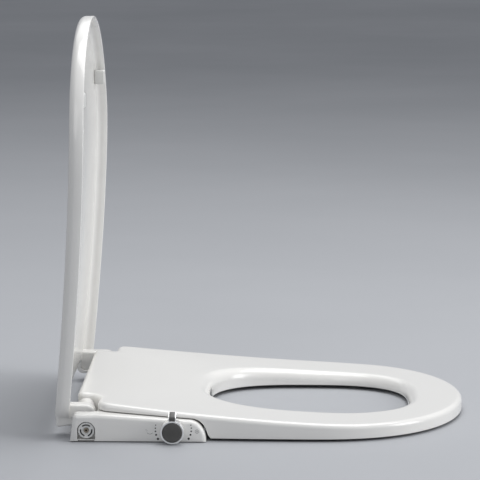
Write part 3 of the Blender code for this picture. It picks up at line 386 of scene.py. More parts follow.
link(relief.outputs["Normal"], sink.inputs["Normal"])
print("group worked_metal:", len(metal.nodes), "nodes")

# %% [markdown]
# Each material is one group feeding one shader. What is the same all over, such as the clear
# lacquer-like coat of polished plastic, is set on the shader itself.

# %% Materials
def finish_of(name, group, coat=0.0, metallic=0.0, specular=0.5, **values):
    """A material whose colour, roughness and normal come from a node group."""
    made = bpy.data.materials.new(name)
    made.use_nodes = True
    tree = made.node_tree
    shader = tree.nodes["Principled BSDF"]
    shader.inputs["Metallic"].default_value = metallic
    shader.inputs["Coat Weight"].default_value = coat
    shader.inputs["Coat Roughness"].default_value = 0.04
    shader.inputs["Specular IOR Level"].default_value = specular
    look = tree.nodes.new("ShaderNodeGroup")
    look.node_tree = group
    for label, value in values.items():
        look.inputs[label.replace("_", " ")].default_value = value
    tree.links.new(look.outputs["Colour"], shader.inputs["Base Color"])
    tree.links.new(look.outputs["Roughness"], shader.inputs["Roughness"])
    tree.links.new(look.outputs["Normal"], shader.inputs["Normal"])
    return made


gloss_white = finish_of("polished_white_plastic", skin, coat=0.2,
                        Light=(0.80, 0.79, 0.765, 1), Shade=(0.775, 0.765, 0.74, 1),
                        Patches=7.0, Grain=700.0, Gloss_low=0.17, Gloss_high=0.23, Height=0.001)
satin_white = finish_of("satin_white_plastic", skin,
                        Light=(0.74, 0.74, 0.725, 1), Shade=(0.69, 0.69, 0.675, 1),
                        Patches=14.0, Grain=1600.0, Gloss_low=0.30, Gloss_high=0.42, Height=0.10)
soft_white = finish_of("soft_white_rubber", skin, specular=0.35,
                       Light=(0.72, 0.72, 0.70, 1), Shade=(0.65, 0.65, 0.63, 1),
                       Patches=40.0, Grain=2200.0, Gloss_low=0.50, Gloss_high=0.65, Height=0.25)
dark_grey = finish_of("dark_grey_plastic", skin,
                      Light=(0.090, 0.087, 0.083, 1), Shade=(0.070, 0.068, 0.065, 1),
                      Patches=60.0, Grain=2600.0, Gloss_low=0.34, Gloss_high=0.44, Height=0.20)
black_rubber = finish_of("black_rubber", skin, specular=0.35,
                         Light=(0.045, 0.045, 0.048, 1), Shade=(0.03, 0.03, 0.032, 1),
                         Patches=50.0, Grain=2400.0, Gloss_low=0.5, Gloss_high=0.65, Height=0.3)
white_hose = finish_of("white_hose", skin,
                       Light=(0.70, 0.71, 0.71, 1), Shade=(0.62, 0.63, 0.63, 1),
                       Patches=30.0, Grain=1800.0, Gloss_low=0.28, Gloss_high=0.40, Height=0.1)
silver = finish_of("polished_silver", metal, metallic=1.0,
                   Light=(0.97, 0.97, 0.965, 1), Shade=(0.90, 0.90, 0.895, 1),
                   Along=(2600.0, 300.0, 300.0), Gloss_low=0.26, Gloss_high=0.36, Height=0.02)
brass = finish_of("turned_brass", metal, metallic=1.0,
                  Light=(0.42, 0.37, 0.30, 1), Shade=(0.28, 0.24, 0.18, 1),
                  Along=(3000.0, 500.0, 500.0), Gloss_low=0.25, Gloss_high=0.4, Height=0.08)
steel = finish_of("brushed_steel", metal, metallic=1.0,
                  Light=(0.64, 0.64, 0.65, 1), Shade=(0.50, 0.50, 0.52, 1),
                  Along=(60.0, 2200.0, 2200.0), Gloss_low=0.25, Gloss_high=0.42, Height=0.12)
ink = finish_of("marking_ink", skin, specular=0.3,
                Light=(0.035, 0.035, 0.035, 1), Shade=(0.05, 0.05, 0.05, 1),
                Patches=300.0, Grain=4000.0, Gloss_low=0.5, Gloss_high=0.6, Height=0.1)
pale_ink = finish_of("pale_marking_ink", skin, specular=0.3,
                     Light=(0.20, 0.20, 0.195, 1), Shade=(0.26, 0.26, 0.255, 1),
                     Patches=300.0, Grain=4000.0, Gloss_low=0.5, Gloss_high=0.6, Height=0.1)
print("materials:", len(bpy.data.materials))

# %% [markdown]
# ## Seat ring
#
# The ring is one thin moulding: a wall outside, a rounded shoulder, a broad top that rolls down
# into the opening, and a hollow underneath. Its rear is a tongue between two notches for the
# hinges. No turned or extruded primitive gives that rising, changing section, so it is lofted:
# the outline is walked once, and at each point the section is laid from the outline inwards.

# %% Seat outline
NOTCH_S = HINGE_S - 15.5
TONGUE_HALF = 132.0
TONGUE_S = HINGE_S + 10.5
arm_inner = abs(arm_high.x) / MM
CORNER = 15.0
COVE = 12.0


def seat_outline():
    side = [(half_width(s), s) for s in front_stations(NOTCH_S - CORNER - 3.0, 3.0)]
    outer = (half_width(NOTCH_S), NOTCH_S)
    inner = (TONGUE_HALF, NOTCH_S)
    tail = (TONGUE_HALF, TONGUE_S)
    side += fillet(outer, side[-1], inner, CORNER, 10)
    side.append((arm_inner - 1.0, NOTCH_S))
    side += fillet(inner, outer, tail, COVE, 12)
    side += [(TONGUE_HALF, NOTCH_S + COVE + 2.0 * i) for i in (1, 2)]
    side += fillet(tail, inner, (0.0, TONGUE_S), 7.0, 8)
    side += [(TONGUE_HALF - 12.0 - 10.0 * i, TONGUE_S) for i in range(12)]
    return side + [(0.0, TONGUE_S)] + [(-x, s) for x, s in reversed(side)][:-1]


outline = seat_outline()
print("outline points:", len(outline))

# %% [markdown]
# The lower edge of the ring isn't level everywhere. It stays clear of the two arms by following
# their round noses and their tops, and it ends higher on the tongue, so that the hinge has room.

# %% Where the ring's lower edge and the opening run
ARM_NOSE = (arm_low.y - TIP_Y) / MM
NOSE_REACH = 19.6
ARM_FRONT = 24.6
ARM_TOP = arm_high.z / MM
ARM_STEP = NOTCH_S
OPENING_MIDDLE, OPENING_LONG, OPENING_WIDE, OPENING_POWER = 185.0, 120.2, 111.0, 2.8


def arm_height(s):
    """Height of an arm's top at s, with its quarter-round nose."""
    if s <= ARM_NOSE:
        return 0.0
    nose_end = ARM_NOSE + NOSE_REACH
    if s < nose_end:
        return ARM_FRONT * math.sqrt(max(0.0, 1.0 - ((nose_end - s) / NOSE_REACH) ** 2))
    return ARM_FRONT + (ARM_TOP - ARM_FRONT) * min(1.0, (s - nose_end) / (ARM_STEP - nose_end))


def lower_edge(x, s):
    """Height of the ring's outer lower edge."""
    skirt = seat_low.z / MM
    if abs(x) < TONGUE_HALF - 4.0 and s > TONGUE_S - 1.0:
        return 38.5
    if s > NOTCH_S - 0.5 and abs(x) < TONGUE_HALF + COVE:
        return 17.0
    return max(skirt, arm_height(s + 2.4) + 1.0) if s > ARM_NOSE - 2.0 else skirt


def opening(direction):
    """The opening's edge (x, s) in a direction from its middle."""
    x, s = direction
    size = (abs(x / OPENING_WIDE) ** OPENING_POWER
            + abs(s / OPENING_LONG) ** OPENING_POWER) ** (1 / OPENING_POWER)
    return Vector((x / size, OPENING_MIDDLE + s / size))


def rim_floor(x, s):
    """Height of the opening's lower edge, lifted in the middle of the rear over the nozzles."""
    share = (s - OPENING_MIDDLE - 0.55 * OPENING_LONG) / (0.3 * OPENING_LONG)
    share = max(0.0, min(1.0, share, (40.0 - abs(x)) / 18.0))
    return 4.0 + 16.0 * share * share * (3.0 - 2.0 * share)


print("arm nose at %.1f, arm top %.1f" % (ARM_NOSE, ARM_TOP))

# %% [markdown]
# A section has about fifty points. The shoulder and the rim are quarter circles with many short
# steps, since they carry the long highlights, and the hollow below needs only a few.

# %% Loft the ring
SHOULDER, ROLL, WALL = 6.0, 13.0, 3.5


def section(point, normal):
    """One section of the ring: up the wall, over the top, down into the opening, back below."""
    x, s = point
    out = Vector((x, s))
    rim = opening((x, s - OPENING_MIDDLE))
    inward = (rim - Vector((0.0, OPENING_MIDDLE))).normalized()
    low = lower_edge(x, s)
    wall_top = max(low + 0.8, seat_top(s) - SHOULDER)
    drop = seat_top(s) - wall_top
    places = [spot(*(out - normal * 0.5), low), spot(*out, low + 0.5)]
    for i in range(11):
        turn = math.pi / 2 * i / 10
        at = out - normal * SHOULDER * (1.0 - math.cos(turn))
        height = seat_top(at.y) - drop * (1.0 - math.sin(turn)) if i else wall_top
        places.append(spot(*at, height))
    a, b = out - normal * SHOULDER, rim + inward * ROLL
    for i in range(1, 14):
        at = a.lerp(b, i / 14)
        places.append(spot(*at, seat_top(at.y)))
    for i in range(13):
        turn = math.pi / 2 * i / 12
        at = rim + inward * ROLL * (1.0 - math.sin(turn))
        places.append(spot(*at, seat_top(at.y) - ROLL * (1.0 - math.cos(turn))))
    base = rim_floor(rim.x, rim.y)
    places += [spot(*rim, base + 0.8), spot(*(rim + inward * 0.8), base)]
    places.append(spot(*(rim + inward * WALL), base))
    far = rim + inward * ROLL
    places.append(spot(*far, seat_top(far.y) - WALL - 1.5))
    near = out - normal * (WALL + 2.0)
    for i in range(1, 6):
        at = far.lerp(near, i / 5)
        places.append(spot(*at, seat_top(at.y) - WALL - 0.5))
    places.append(spot(*(out - normal * WALL), min(low, seat_top(s) - WALL - 1.5)))
    return places


sections = [section(p, n) for p, n in zip(outline, outward(outline))]
ring = loft("seat_ring_skin", sections + sections[:1])
smooth(ring, 40)
dress(ring, "seat_ring_skin", "seat", gloss_white, "gloss_white", "seat_ring")

# %% [markdown]
# Four white rubber rests stand under the ring and carry it on the bowl. They are blocks with
# every edge rounded, and three shallow grooves across their foot, which give the rubber some grip.
# The lid's two rests are made the same way, without grooves, and stand a little less proud so that
# the lid clears the seat when it is closed.

# %% Seat rests
LID_REST_TRIM = 1.2
REST_ROUND = 1.6


def rest(name, source, body, groove=True):
    """A rounded rubber block in a CAD node's box, trimmed on the side that faces the seat."""
    low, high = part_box(source)
    if body == "lid":
        low.y += LID_REST_TRIM * MM
    x0, x1 = low.x / MM, high.x / MM
    s0, s1 = (low.y - TIP_Y) / MM, (high.y - TIP_Y) / MM
    z0, z1 = low.z / MM, high.z / MM
    pad = block(name, x0, x1, s0, s1, z0, z1)
    modify(pad, "BEVEL", width=REST_ROUND * MM, segments=4, limit_method="ANGLE")
    if groove:
        for share in (0.3, 0.5, 0.7):
            at = s0 + (s1 - s0) * share
            boolean(pad, block("groove", x0 + 2, x1 - 2, at - 0.7, at + 0.7, z0 - 1, z0 + 0.7))
    smooth(pad)
    return dress(pad, name, body, soft_white, "rubber_white", source)


for where_to in ("front_right", "front_left", "rear_right", "rear_left"):
    rest("seat_rest_" + where_to, "seat_pad_" + where_to, "seat")

# %% [markdown]
# The seat turns on two short barrels beside its tongue. Each one flares softly where it grows out
# of the tongue, as a moulding does at its root, so it is lofted through hoops whose size falls
# quickly at first and then stays level. It has no bore, because the shaft that runs through it
# hides one.

# %% Hinge barrels
BARREL_FLARE = 1.5


def hoop(x, radius, count=72):
    """Places round the hinge line at x."""
    turns = [2 * math.pi * i / count for i in range(count)]
    return [spot(x, HINGE_S + radius * math.cos(t), HINGE_Z + radius * math.sin(t)) for t in turns]


for side, sign in (("right", -1), ("left", 1)):
    low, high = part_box("seat_hinge_barrel_" + side)
    radius, root = (high.z - low.z) / 2 / MM, TONGUE_HALF - 1.0
    length = max(abs(low.x), abs(high.x)) / MM - root
    hoops = []
    for i in range(13):
        along = length * i / 14
        hoops.append(hoop(sign * (root + along), radius + BARREL_FLARE * (1 - i / 12) ** 2.4))
    end = root + length
    hoops += [hoop(sign * (end - 0.3), radius), hoop(sign * end, radius - 0.4)]
    barrel = loft("barrel", hoops, close_ends=(0, -1))
    smooth(barrel, 45)
    dress(barrel, "seat_barrel_" + side, "seat", gloss_white, "gloss_white",
          "seat_hinge_barrel_" + side)

# %% [markdown]
# ## Lid
#
# The lid is a shallow tray turned over: a flat inner panel, a rim that lies just over the seat,
# and a back with a broad rounded edge. It is drawn lying closed, where its rim can follow the
# seat's own curve, and every place is then swung open about the hinge line.

# %% Lid outline
LID_REAR = HINGE_S + 16.5
LID_NOTCH = HINGE_S - 3.5
LID_CORNER = 30.0
OVERHANG = 2.0
LID_DEPTH, RECESS, LID_WALL, LID_ROLL = 17.0, 12.5, 3.0, 8.0


def opened(place):
    """Swing a place from the closed lid to the open one."""
    return Matrix.Rotation(-LID_ANGLE, 4, "X") @ (place - HINGE) + HINGE


def rim_height(s):
    """Height of the closed lid's rim over the seat."""
    return seat_top(min(s, TONGUE_S)) + 1.5 - 0.9 * min(1.0, max(0.0, s / NOTCH_S))


def lid_outline():
    side = [(half_width(s), s) for s in front_stations(LID_REAR - LID_CORNER - 3.0, 6.0)]
    corner = (half_width(LID_REAR), LID_REAR)
    side += fillet(corner, side[-1], (0.0, LID_REAR), LID_CORNER, 14)
    side += [(half_width(LID_REAR) - LID_CORNER - 8.0 - 14.0 * i, LID_REAR) for i in range(10)]
    drawn = side + [(0.0, LID_REAR)] + [(-x, s) for x, s in reversed(side)][:-1]
    grown = []
    for (x, s), n in zip(drawn, outward(drawn)):
        reach = OVERHANG * max(0.0, min(1.0, (LID_REAR - s) / LID_CORNER))
        grown.append((x + n.x * reach, s + n.y * reach))
    return grown


lid_edge = lid_outline()
print("lid outline points:", len(lid_edge))

# %% Loft the lid
def lid_ring(inset, height, share=1.0):
    """The outline drawn in by inset and shrunk about the lid's middle, at a height over the rim."""
    middle = Vector((0.0, (LID_REAR - OVERHANG) / 2))
    ring = []
    for (x, s), n in zip(lid_edge, outward(lid_edge)):
        at = middle.lerp(Vector((x, s)) - n * inset, share)
        ring.append(opened(spot(at.x, at.y, rim_height(at.y) + height)))
    return ring


lid_rings = [lid_ring(LID_WALL + 6.0, RECESS, i / 8) for i in range(1, 9)]
for i in range(1, 7):
    turn = math.pi / 2 * i / 6
    lid_rings.append(lid_ring(LID_WALL + 6.0 * (1 - math.sin(turn)),
                              RECESS - 6.0 * (1 - math.cos(turn))))
lid_rings += [lid_ring(LID_WALL - 0.6, 1.0), lid_ring(LID_WALL - 1.2, 0.25),
              lid_ring(LID_WALL - 1.8, 0.0), lid_ring(0.9, 0.0), lid_ring(0.3, 0.25),
              lid_ring(0.0, 0.9)]
for i in range(11):
    turn = math.pi / 2 * i / 10
    lid_rings.append(lid_ring(LID_ROLL * (1 - math.cos(turn)),
                              LID_DEPTH - LID_ROLL * (1 - math.sin(turn))))
lid_rings += [lid_ring(LID_ROLL, LID_DEPTH, i / 8) for i in range(7, 0, -1)]
lid = loft("lid_skin", lid_rings, close_ends=(0, -1))
smooth(lid, 50)
print("lid rings:", len(lid_rings))

# %% [markdown]
# Between its hinges the lid stops short, so that it can stand up behind the seat's tongue: that
# notch is cut first. Two round-nosed ears then reach forward and take the hinge shafts. Each is
# drawn from the side, extruded to its width, rounded all over, and joined on to the lid, so the
# two read as one moulding.

# %% Lid ears
EAR_INNER, EAR_WIDTH, EAR_NOSE, EAR_TOP, EAR_LOW = 150.0, 19.5, 13.0, 10.5, 13.0


def ear(sign):
    """The side view of an ear, from under its nose round to the lid's panel."""
    panel = HINGE_S + rim_height(TONGUE_S) + RECESS + 2.0 - HINGE_Z
    points = []
    for i in range(19):
        turn = math.radians(-75.0 - 180.0 * i / 18)
        lift = EAR_TOP if math.sin(turn) > 0 else EAR_LOW
        points.append((HINGE_S + EAR_NOSE * math.cos(turn), HINGE_Z + lift * math.sin(turn)))
    points += [(panel, HINGE_Z + EAR_TOP), (panel, HINGE_Z - EAR_LOW - 3.5)]
    low, high = sorted((sign * EAR_INNER, sign * (EAR_INNER + EAR_WIDTH)))
    made = slab("ear", points, low, high)
    modify(made, "BEVEL", width=3.0 * MM, segments=6, limit_method="ANGLE",
           angle_limit=math.radians(40))
    return made


NOTCH_SHORT, NOTCH_ROUND = 4.0, 8.0
half_notch = EAR_INNER - NOTCH_SHORT
corners = [(-half_notch, LID_REAR + 9.0), (half_notch, LID_REAR + 9.0)]
corners += fillet((half_notch, LID_NOTCH), (half_notch, LID_REAR), (0.0, LID_NOTCH),
                  NOTCH_ROUND, 8)
corners += fillet((-half_notch, LID_NOTCH), (0.0, LID_NOTCH), (-half_notch, LID_REAR),
                  NOTCH_ROUND, 8)
notch = loft("notch", [[opened(spot(x, s, z)) for x, s in corners] for z in (10.0, 90.0)],
             close_ends=(0, -1))
boolean(lid, notch)
for sign in (-1, 1):
    boolean(lid, ear(sign), "UNION")
smooth(lid, 50)
dress(lid, "lid_skin", "lid", gloss_white, "gloss_white", "lid_shell")
for side in ("right", "left"):
    rest("lid_rest_" + side, "lid_pad_" + side, "lid", groove=False)

# %% [markdown]
# ## Control arm
#
# The arm beside the seat is drawn from the side as well: a quarter-round nose, a long top that
# climbs a little, and a blunt rear. Its outer edge is rounded much more than its foot, so each
# edge gets its own weight before one Bevel modifier rounds them all. The real cover is a thin
# shell, but this one is left solid, because nobody sees into it.

# %% An arm's outside
ARM_REAR = (arm_high.y - TIP_Y) / MM
ARM_INNER = abs(arm_high.x) / MM
BLOCK_INNER, BLOCK_TOP = 174.5, 31.2
TOP_ROUND = 7.0


def arm_outline():
    """Side view (s, z) of an arm, from the foot of its nose over the top to its rear foot."""
    points = []
    for i in range(25):
        turn = math.pi / 2 * i / 24
        points.append((ARM_NOSE + NOSE_REACH * (1 - math.cos(turn)), ARM_FRONT * math.sin(turn)))
    points += [(ARM_STEP - 6.0, ARM_TOP - 0.2), (ARM_STEP + 1.0, ARM_TOP - 0.1),
               (ARM_STEP + 7.0, BLOCK_TOP)]
    points += fillet((ARM_REAR - 4.0, BLOCK_TOP), (ARM_STEP, BLOCK_TOP), (ARM_REAR, 0.0), 5.0, 8)
    return points + [(ARM_REAR, 0.0)]


def weigh_edges(obj, outer_x):
    """Bevel weights: full on the outer face's upper edges, small on its foot, none inside."""
    mesh = obj.data
    weights = mesh.attributes.new("bevel_weight_edge", "FLOAT", "EDGE")
    for edge in mesh.edges:
        a, b = (mesh.vertices[v].co for v in edge.vertices)
        if abs(a.x - outer_x) > 1e-5 or abs(b.x - outer_x) > 1e-5:
            continue
        foot = max(a.z, b.z) < 1e-5
        weights.data[edge.index].value = 0.18 if foot else 1.0


def arm_skin(name, sign, face):
    """An arm's cover with its rounded outside and the room for the hinge cut from its rear."""
    inner, outer = sign * ARM_INNER, sign * face
    made = slab(name, arm_outline(), *sorted((inner, outer)))
    weigh_edges(made, outer * MM)
    modify(made, "BEVEL", width=TOP_ROUND * MM, segments=9, limit_method="WEIGHT",
           use_clamp_overlap=True)
    room = block("room", inner - sign * 5, sign * BLOCK_INNER, ARM_STEP, ARM_REAR + 5, -5, 60)
    modify(room, "BEVEL", width=1.5 * MM, segments=4, limit_method="ANGLE")
    boolean(made, room)
    return made


arm = arm_skin("control_arm_skin", -1, abs(arm_low.x) / MM)
print("arm faces:", len(arm.data.polygons))

# %% [markdown]
# The water comes in through a niche with a round arch in the arm's rear. The niche, the hole for
# the inlet's stem and the hole for the knob's spindle are cut in turn with cylinders and a
# block, and a thin slot is left across the niche's foot, where the cover's two halves part.

# %% Cut the niche and the spindle hole
inlet_low, inlet_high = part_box("inlet_fitting")
INLET_S = ((inlet_low.y + inlet_high.y) / 2 - TIP_Y) / MM
INLET_Z = (inlet_low.z + inlet_high.z) / 2 / MM
INLET_R = (inlet_high.z - inlet_low.z) / 2 / MM
NICHE, NICHE_DEPTH = 10.4, 9.0
FACE = abs(arm_low.x) / MM
knob = next(j for j in frame["joints"] if j["name"] == "knob_turn")
KNOB_S, KNOB_Z = (knob["pos_m"][1] - TIP_Y) / MM, knob["pos_m"][2] / MM

boolean(arm, drum("arch", -FACE - 2, -FACE + NICHE_DEPTH, INLET_S, INLET_Z, NICHE, 96))
boolean(arm, block("foot", -FACE - 2, -FACE + NICHE_DEPTH, INLET_S - NICHE, INLET_S + NICHE,
                   2.6, INLET_Z))
boolean(arm, block("seam", -FACE - 2, -FACE + 4, INLET_S - NICHE + 0.8, INLET_S + NICHE - 0.8,
                   0.7, 1.9))
boolean(arm, drum("stem", -FACE - 2, -FACE + 12, INLET_S, INLET_Z, 3.0, 48))
boolean(arm, drum("spindle", -FACE - 2, -FACE + 8, KNOB_S, KNOB_Z, 5.0, 48))
smooth(arm, 30)
dress(arm, "control_arm_skin", "base", gloss_white, "gloss_white", "control_arm_cover")

left = arm_skin("left_cover_skin", 1, left_high.x / MM)
smooth(left, 30)
dress(left, "left_cover_skin", "base", gloss_white, "gloss_white", "left_cover")

# %% [markdown]
# ## Spray knob
#
# The knob is a silver ring round a dark disc, with a lever that stands up from it and folds back
# over the arm. The ring starts as a cylinder: its outer end is inset and sunk to seat the disc.

# %% Knob ring
ring_low, ring_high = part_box("knob_ring")
disc_low, disc_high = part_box("knob_disc")
lever_low, lever_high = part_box("knob_lever")
RING_R = (ring_high.y - ring_low.y) / 2 / MM
DISC_R = (disc_high.y - disc_low.y) / 2 / MM
rim = drum("knob_rim", ring_low.x / MM, ring_high.x / MM, KNOB_S, KNOB_Z, RING_R, 128)
only(rim)
bpy.ops.object.mode_set(mode="EDIT")
bpy.ops.mesh.select_all(action="DESELECT")
bpy.ops.object.mode_set(mode="OBJECT")
for face in rim.data.polygons:
    face.select = face.normal.x < -0.9
bpy.ops.object.mode_set(mode="EDIT")
bpy.ops.mesh.select_mode(type="FACE")
bpy.ops.mesh.inset(thickness=(RING_R - DISC_R - 0.25) * MM)
bpy.ops.mesh.extrude_region_move(TRANSFORM_OT_translate={"value": (2.4 * MM, 0, 0)})
bpy.ops.object.mode_set(mode="OBJECT")
modify(rim, "BEVEL", width=0.55 * MM, segments=4, limit_method="ANGLE",
       angle_limit=math.radians(50))
smooth(rim)
dress(rim, "knob_rim", "knob", silver, "knob_silver", "knob_ring")

# %% [markdown]
# The disc fills the ring. Its face is very slightly dished, which is what makes a flat dark disc
# catch the light unevenly, so its front is inset in steps and each step is sunk a little more.

# %% Knob disc
disc = drum("knob_face", disc_low.x / MM, disc_high.x / MM, KNOB_S, KNOB_Z, DISC_R, 128)
only(disc)
for face in disc.data.polygons:
    face.select = face.normal.x < -0.9
bpy.ops.object.mode_set(mode="EDIT")
bpy.ops.mesh.select_mode(type="FACE")
for width, sink_by in ((0.9, -0.25), (2.0, 0.10), (3.0, 0.12), (3.0, 0.08)):
    bpy.ops.mesh.inset(thickness=width * MM)
    bpy.ops.transform.translate(value=(sink_by * MM, 0, 0))
bpy.ops.object.mode_set(mode="OBJECT")
modify(disc, "BEVEL", width=0.3 * MM, segments=3, limit_method="ANGLE",
       angle_limit=math.radians(50))
smooth(disc, 50)
dress(disc, "knob_face", "knob", dark_grey, "knob_grey", "knob_disc")

# %% [markdown]
# The lever is a bent strip. It is drawn from the front as its side view, extruded across, and
# rounded. A thin silver strip of the same bend, a little wider, lies behind the dark one and
# shows as a bright line on both sides.

# %% Knob lever
def bent_strip(name, back, half, grow):
    """A strip standing on the ring and leaning in over the arm; back shifts it off the front."""
    foot = KNOB_Z + RING_R - 2.2
    top = lever_high.z / MM + grow
    front = ring_low.x / MM
    near = front + back
    shape = [(near, foot), (near, top - 6.5), (near + 0.8, top - 5.0), (near + 8.5, top),
             (near + 9.8, top - 1.8), (near + 3.6, top - 6.4), (near + 3.4, foot)]
    mesh = bpy.data.meshes.new(name)
    mesh.from_pydata([spot(x, KNOB_S - half, z) for x, z in shape], [], [range(len(shape))])
    made = bpy.data.objects.new(name, mesh)
    bpy.context.scene.collection.objects.link(made)
    only(made)
    bpy.ops.object.mode_set(mode="EDIT")
    bpy.ops.mesh.select_all(action="SELECT")
    bpy.ops.mesh.extrude_region_move(TRANSFORM_OT_translate={"value": (0, 2 * half * MM, 0)})
    bpy.ops.mesh.select_all(action="SELECT")
    bpy.ops.mesh.normals_make_consistent(inside=False)
    bpy.ops.object.mode_set(mode="OBJECT")
    modify(made, "BEVEL", width=0.5 * MM, segments=3, limit_method="ANGLE",
           angle_limit=math.radians(20))
    smooth(made)
    return made


lever_half = (lever_high.y - lever_low.y) / 2 / MM
dress(bent_strip("lever", 0.15, lever_half - 1.1, 0.0), "knob_lever_front", "knob", dark_grey,
      "knob_grey", "knob_lever")
dress(bent_strip("lever", 0.9, lever_half, -0.4), "knob_lever_back", "knob", silver, "knob_silver")

# %% [markdown]
# ## Water inlet
#
# In the niche sits a round white fitting. Its face has three curved slots round a raised collar,
# and a metal stem in the middle takes the hose. The slots are cut by a ring that is first built
# as a hollow cylinder and then divided into three by blocks.

# %% Inlet fitting
nut = drum("nut", inlet_low.x / MM, inlet_high.x / MM, INLET_S, INLET_Z, INLET_R, 128)
modify(nut, "BEVEL", width=1.0 * MM, segments=5, limit_method="ANGLE")
front = inlet_low.x / MM
slots = drum("slots", front - 1, front + 2.6, INLET_S, INLET_Z, 7.3, 96)
boolean(slots, drum("core", front - 2, front + 4, INLET_S, INLET_Z, 5.5, 96))
for turn in (90.0, 210.0, 330.0):
    bar = block("bar", front - 2, front + 4, INLET_S, INLET_S + 12, INLET_Z - 1.8, INLET_Z + 1.8)
    only(bar)
    bpy.ops.object.mode_set(mode="EDIT")
    bpy.ops.mesh.select_all(action="SELECT")
    bpy.ops.transform.rotate(value=math.radians(turn), orient_axis="X",
                             center_override=spot(front, INLET_S, INLET_Z))
    bpy.ops.object.mode_set(mode="OBJECT")
    boolean(slots, bar)
boolean(nut, slots)
boolean(nut, drum("well", front - 1, front + 1.6, INLET_S, INLET_Z, 4.4, 64))
boolean(nut, drum("bore", front - 1, front + 20, INLET_S, INLET_Z, 3.0, 48))
smooth(nut)
dress(nut, "inlet_nut", "base", satin_white, "satin_white", "inlet_fitting")

# %% [markdown]
# The slots look dark because they open into the niche. A black disc in their foot is painted shade
# that gives them that depth: it stands for the shade in the slots and is only there for the look.
# The brass stem, a tube with a rounded lip, stands in the collar.

# %% Painted shade in the inlet slots, and the stem
# Painted shade: a thin black disc in the foot of the slots stands for the shade inside them. It is
# no part of the fitting.
painted_slot_shade = drum("painted_slot_shade", front + 2.3, front + 2.9, INLET_S, INLET_Z, 7.25, 96)
boolean(painted_slot_shade, drum("hole", front, front + 5, INLET_S, INLET_Z, 5.6, 64))
dress(painted_slot_shade, "inlet_slot_painted_shade", "base", black_rubber, "dark_plastic")
core_low, core_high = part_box("inlet_core")
stem = drum("stem", core_low.x / MM, core_high.x / MM, INLET_S, INLET_Z,
            (core_high.z - core_low.z) / 2 / MM, 64)
boolean(stem, drum("bore", core_low.x / MM - 1, core_high.x / MM + 1, INLET_S, INLET_Z, 1.2, 32))
modify(stem, "BEVEL", width=0.35 * MM, segments=3, limit_method="ANGLE")
smooth(stem)
dress(stem, "inlet_stem", "base", brass, "brass", "inlet_core")

# %% [markdown]
# ## Marks on the arm
#
# Two rows of printed dots show how strong the spray is: five a side, growing towards the foot.
# Beyond each row stands a pale sign, a curved spray and a small diamond. Print has hardly any
# thickness, so these are discs and strips a twentieth of a millimetre proud of the cover.

# %% Dots
PROUD, SUNK = 0.05, 0.3
DOTS = (((19.4, 19.8), (19.7, 16.2), (19.6, 12.6), (18.9, 8.5), (16.8, 3.8)),
        ((-21.0, 20.1), (-21.5, 16.6), (-21.3, 12.9), (-20.5, 8.8), (-18.4, 4.2)))
SIZES = (0.65, 0.80, 0.95, 1.15, 1.35)


def joined(pieces):
    """Join several objects into the first of them."""
    bpy.ops.object.select_all(action="DESELECT")
    for piece in pieces:
        piece.select_set(True)
    bpy.context.view_layer.objects.active = pieces[0]
    bpy.ops.object.join()
    return pieces[0]


dots = []
for row in DOTS:
    for (back, z), radius in zip(row, SIZES):
        dot = drum("dot", -FACE - PROUD, -FACE + SUNK, KNOB_S + back, z, radius, 32)
        modify(dot, "BEVEL", width=0.03 * MM, segments=2, limit_method="ANGLE")
        dots.append(dot)
marks = joined(dots)
smooth(marks)
dress(marks, "arm_dots", "base", ink, "knob_grey")

# %% Spray and diamond signs
def stroke(points, width):
    """A flat line of this width through (s, z) points, printed on the arm's face."""
    left_side, right_side = [], []
    for i, (s, z) in enumerate(points):
        a = Vector(points[max(0, i - 1)])
        b = Vector(points[min(len(points) - 1, i + 1)])
        across = (b - a).normalized().orthogonal() * width / 2
        left_side.append((s + across.x, z + across.y))
        right_side.append((s - across.x, z - across.y))
    return slab("stroke", left_side + right_side[::-1], -FACE - PROUD, -FACE + SUNK)


bowl = [(KNOB_S + 26.0 + 3.1 * math.sin(math.radians(t)), 11.6 - 2.2 * math.cos(math.radians(t)))
        for t in range(-75, 76, 15)]
signs = [stroke(bowl, 0.45)]
for lift in (1.0, 2.2):
    signs.append(stroke([(KNOB_S + 27.8 + lift, 12.0 + lift),
                         (KNOB_S + 28.8 + lift, 12.3 + lift)], 0.4))
sign_s = KNOB_S - 28.0
corners = [(sign_s, 15.2), (sign_s - 2.6, 12.6), (sign_s, 10.0), (sign_s + 2.6, 12.6)]
for a, b in zip(corners, corners[1:] + corners[:1]):
    signs.append(stroke([Vector(a).lerp(Vector(b), t) for t in (0.08, 0.92)], 0.5))
signs.append(drum("drop", -FACE - PROUD, -FACE + SUNK, sign_s, 12.6, 0.7, 24))
symbols = joined(signs)
smooth(symbols)
dress(symbols, "arm_signs", "base", pale_ink, "knob_grey")

# %% [markdown]
# ## The pieces that keep their CAD shape
#
# The water unit, the nozzles, the springs, the hoses, the screws and the hinge shafts already
# have the right shape. They only need a finish, so it is put into their material slots.

# %% Finish the CAD pieces
KEEP = {
    satin_white: ("base_tray", "base_cover", "nozzle_shield", "release_button", "knob_spindle"),
    gloss_white: ("nozzle_rear", "nozzle_front"),
    black_rubber: ("foot_front_right", "foot_front_left", "foot_rear_right", "foot_rear_left"),
    dark_grey: ("valve_body", "nozzle_guide_rear", "nozzle_guide_front",
                "hinge_damper_right", "hinge_damper_left"),
    white_hose: ("hose_feed", "hose_rear", "hose_front"),
    steel: ("return_spring_rear", "return_spring_front", "mounting_plate", "hinge_shaft_right",
            "hinge_shaft_left", "cover_screw_front_right", "cover_screw_front_left",
            "cover_screw_rear_right", "cover_screw_rear_left"),
}
for finish, names in KEEP.items():
    for name in names:
        for place in frame["nodes"][name].material_slots:
            place.material = finish
    print(finish.name, "on", len(names))

# %% [markdown]
# ## Floor, light and camera
#
# White plastic shows its shape only by what it reflects. A pale floor, a large soft panel above
# and towards the front, a weaker one on the camera's side and one behind give the top its
# brightness, leave the near faces a little darker, and draw a soft line along each round edge.

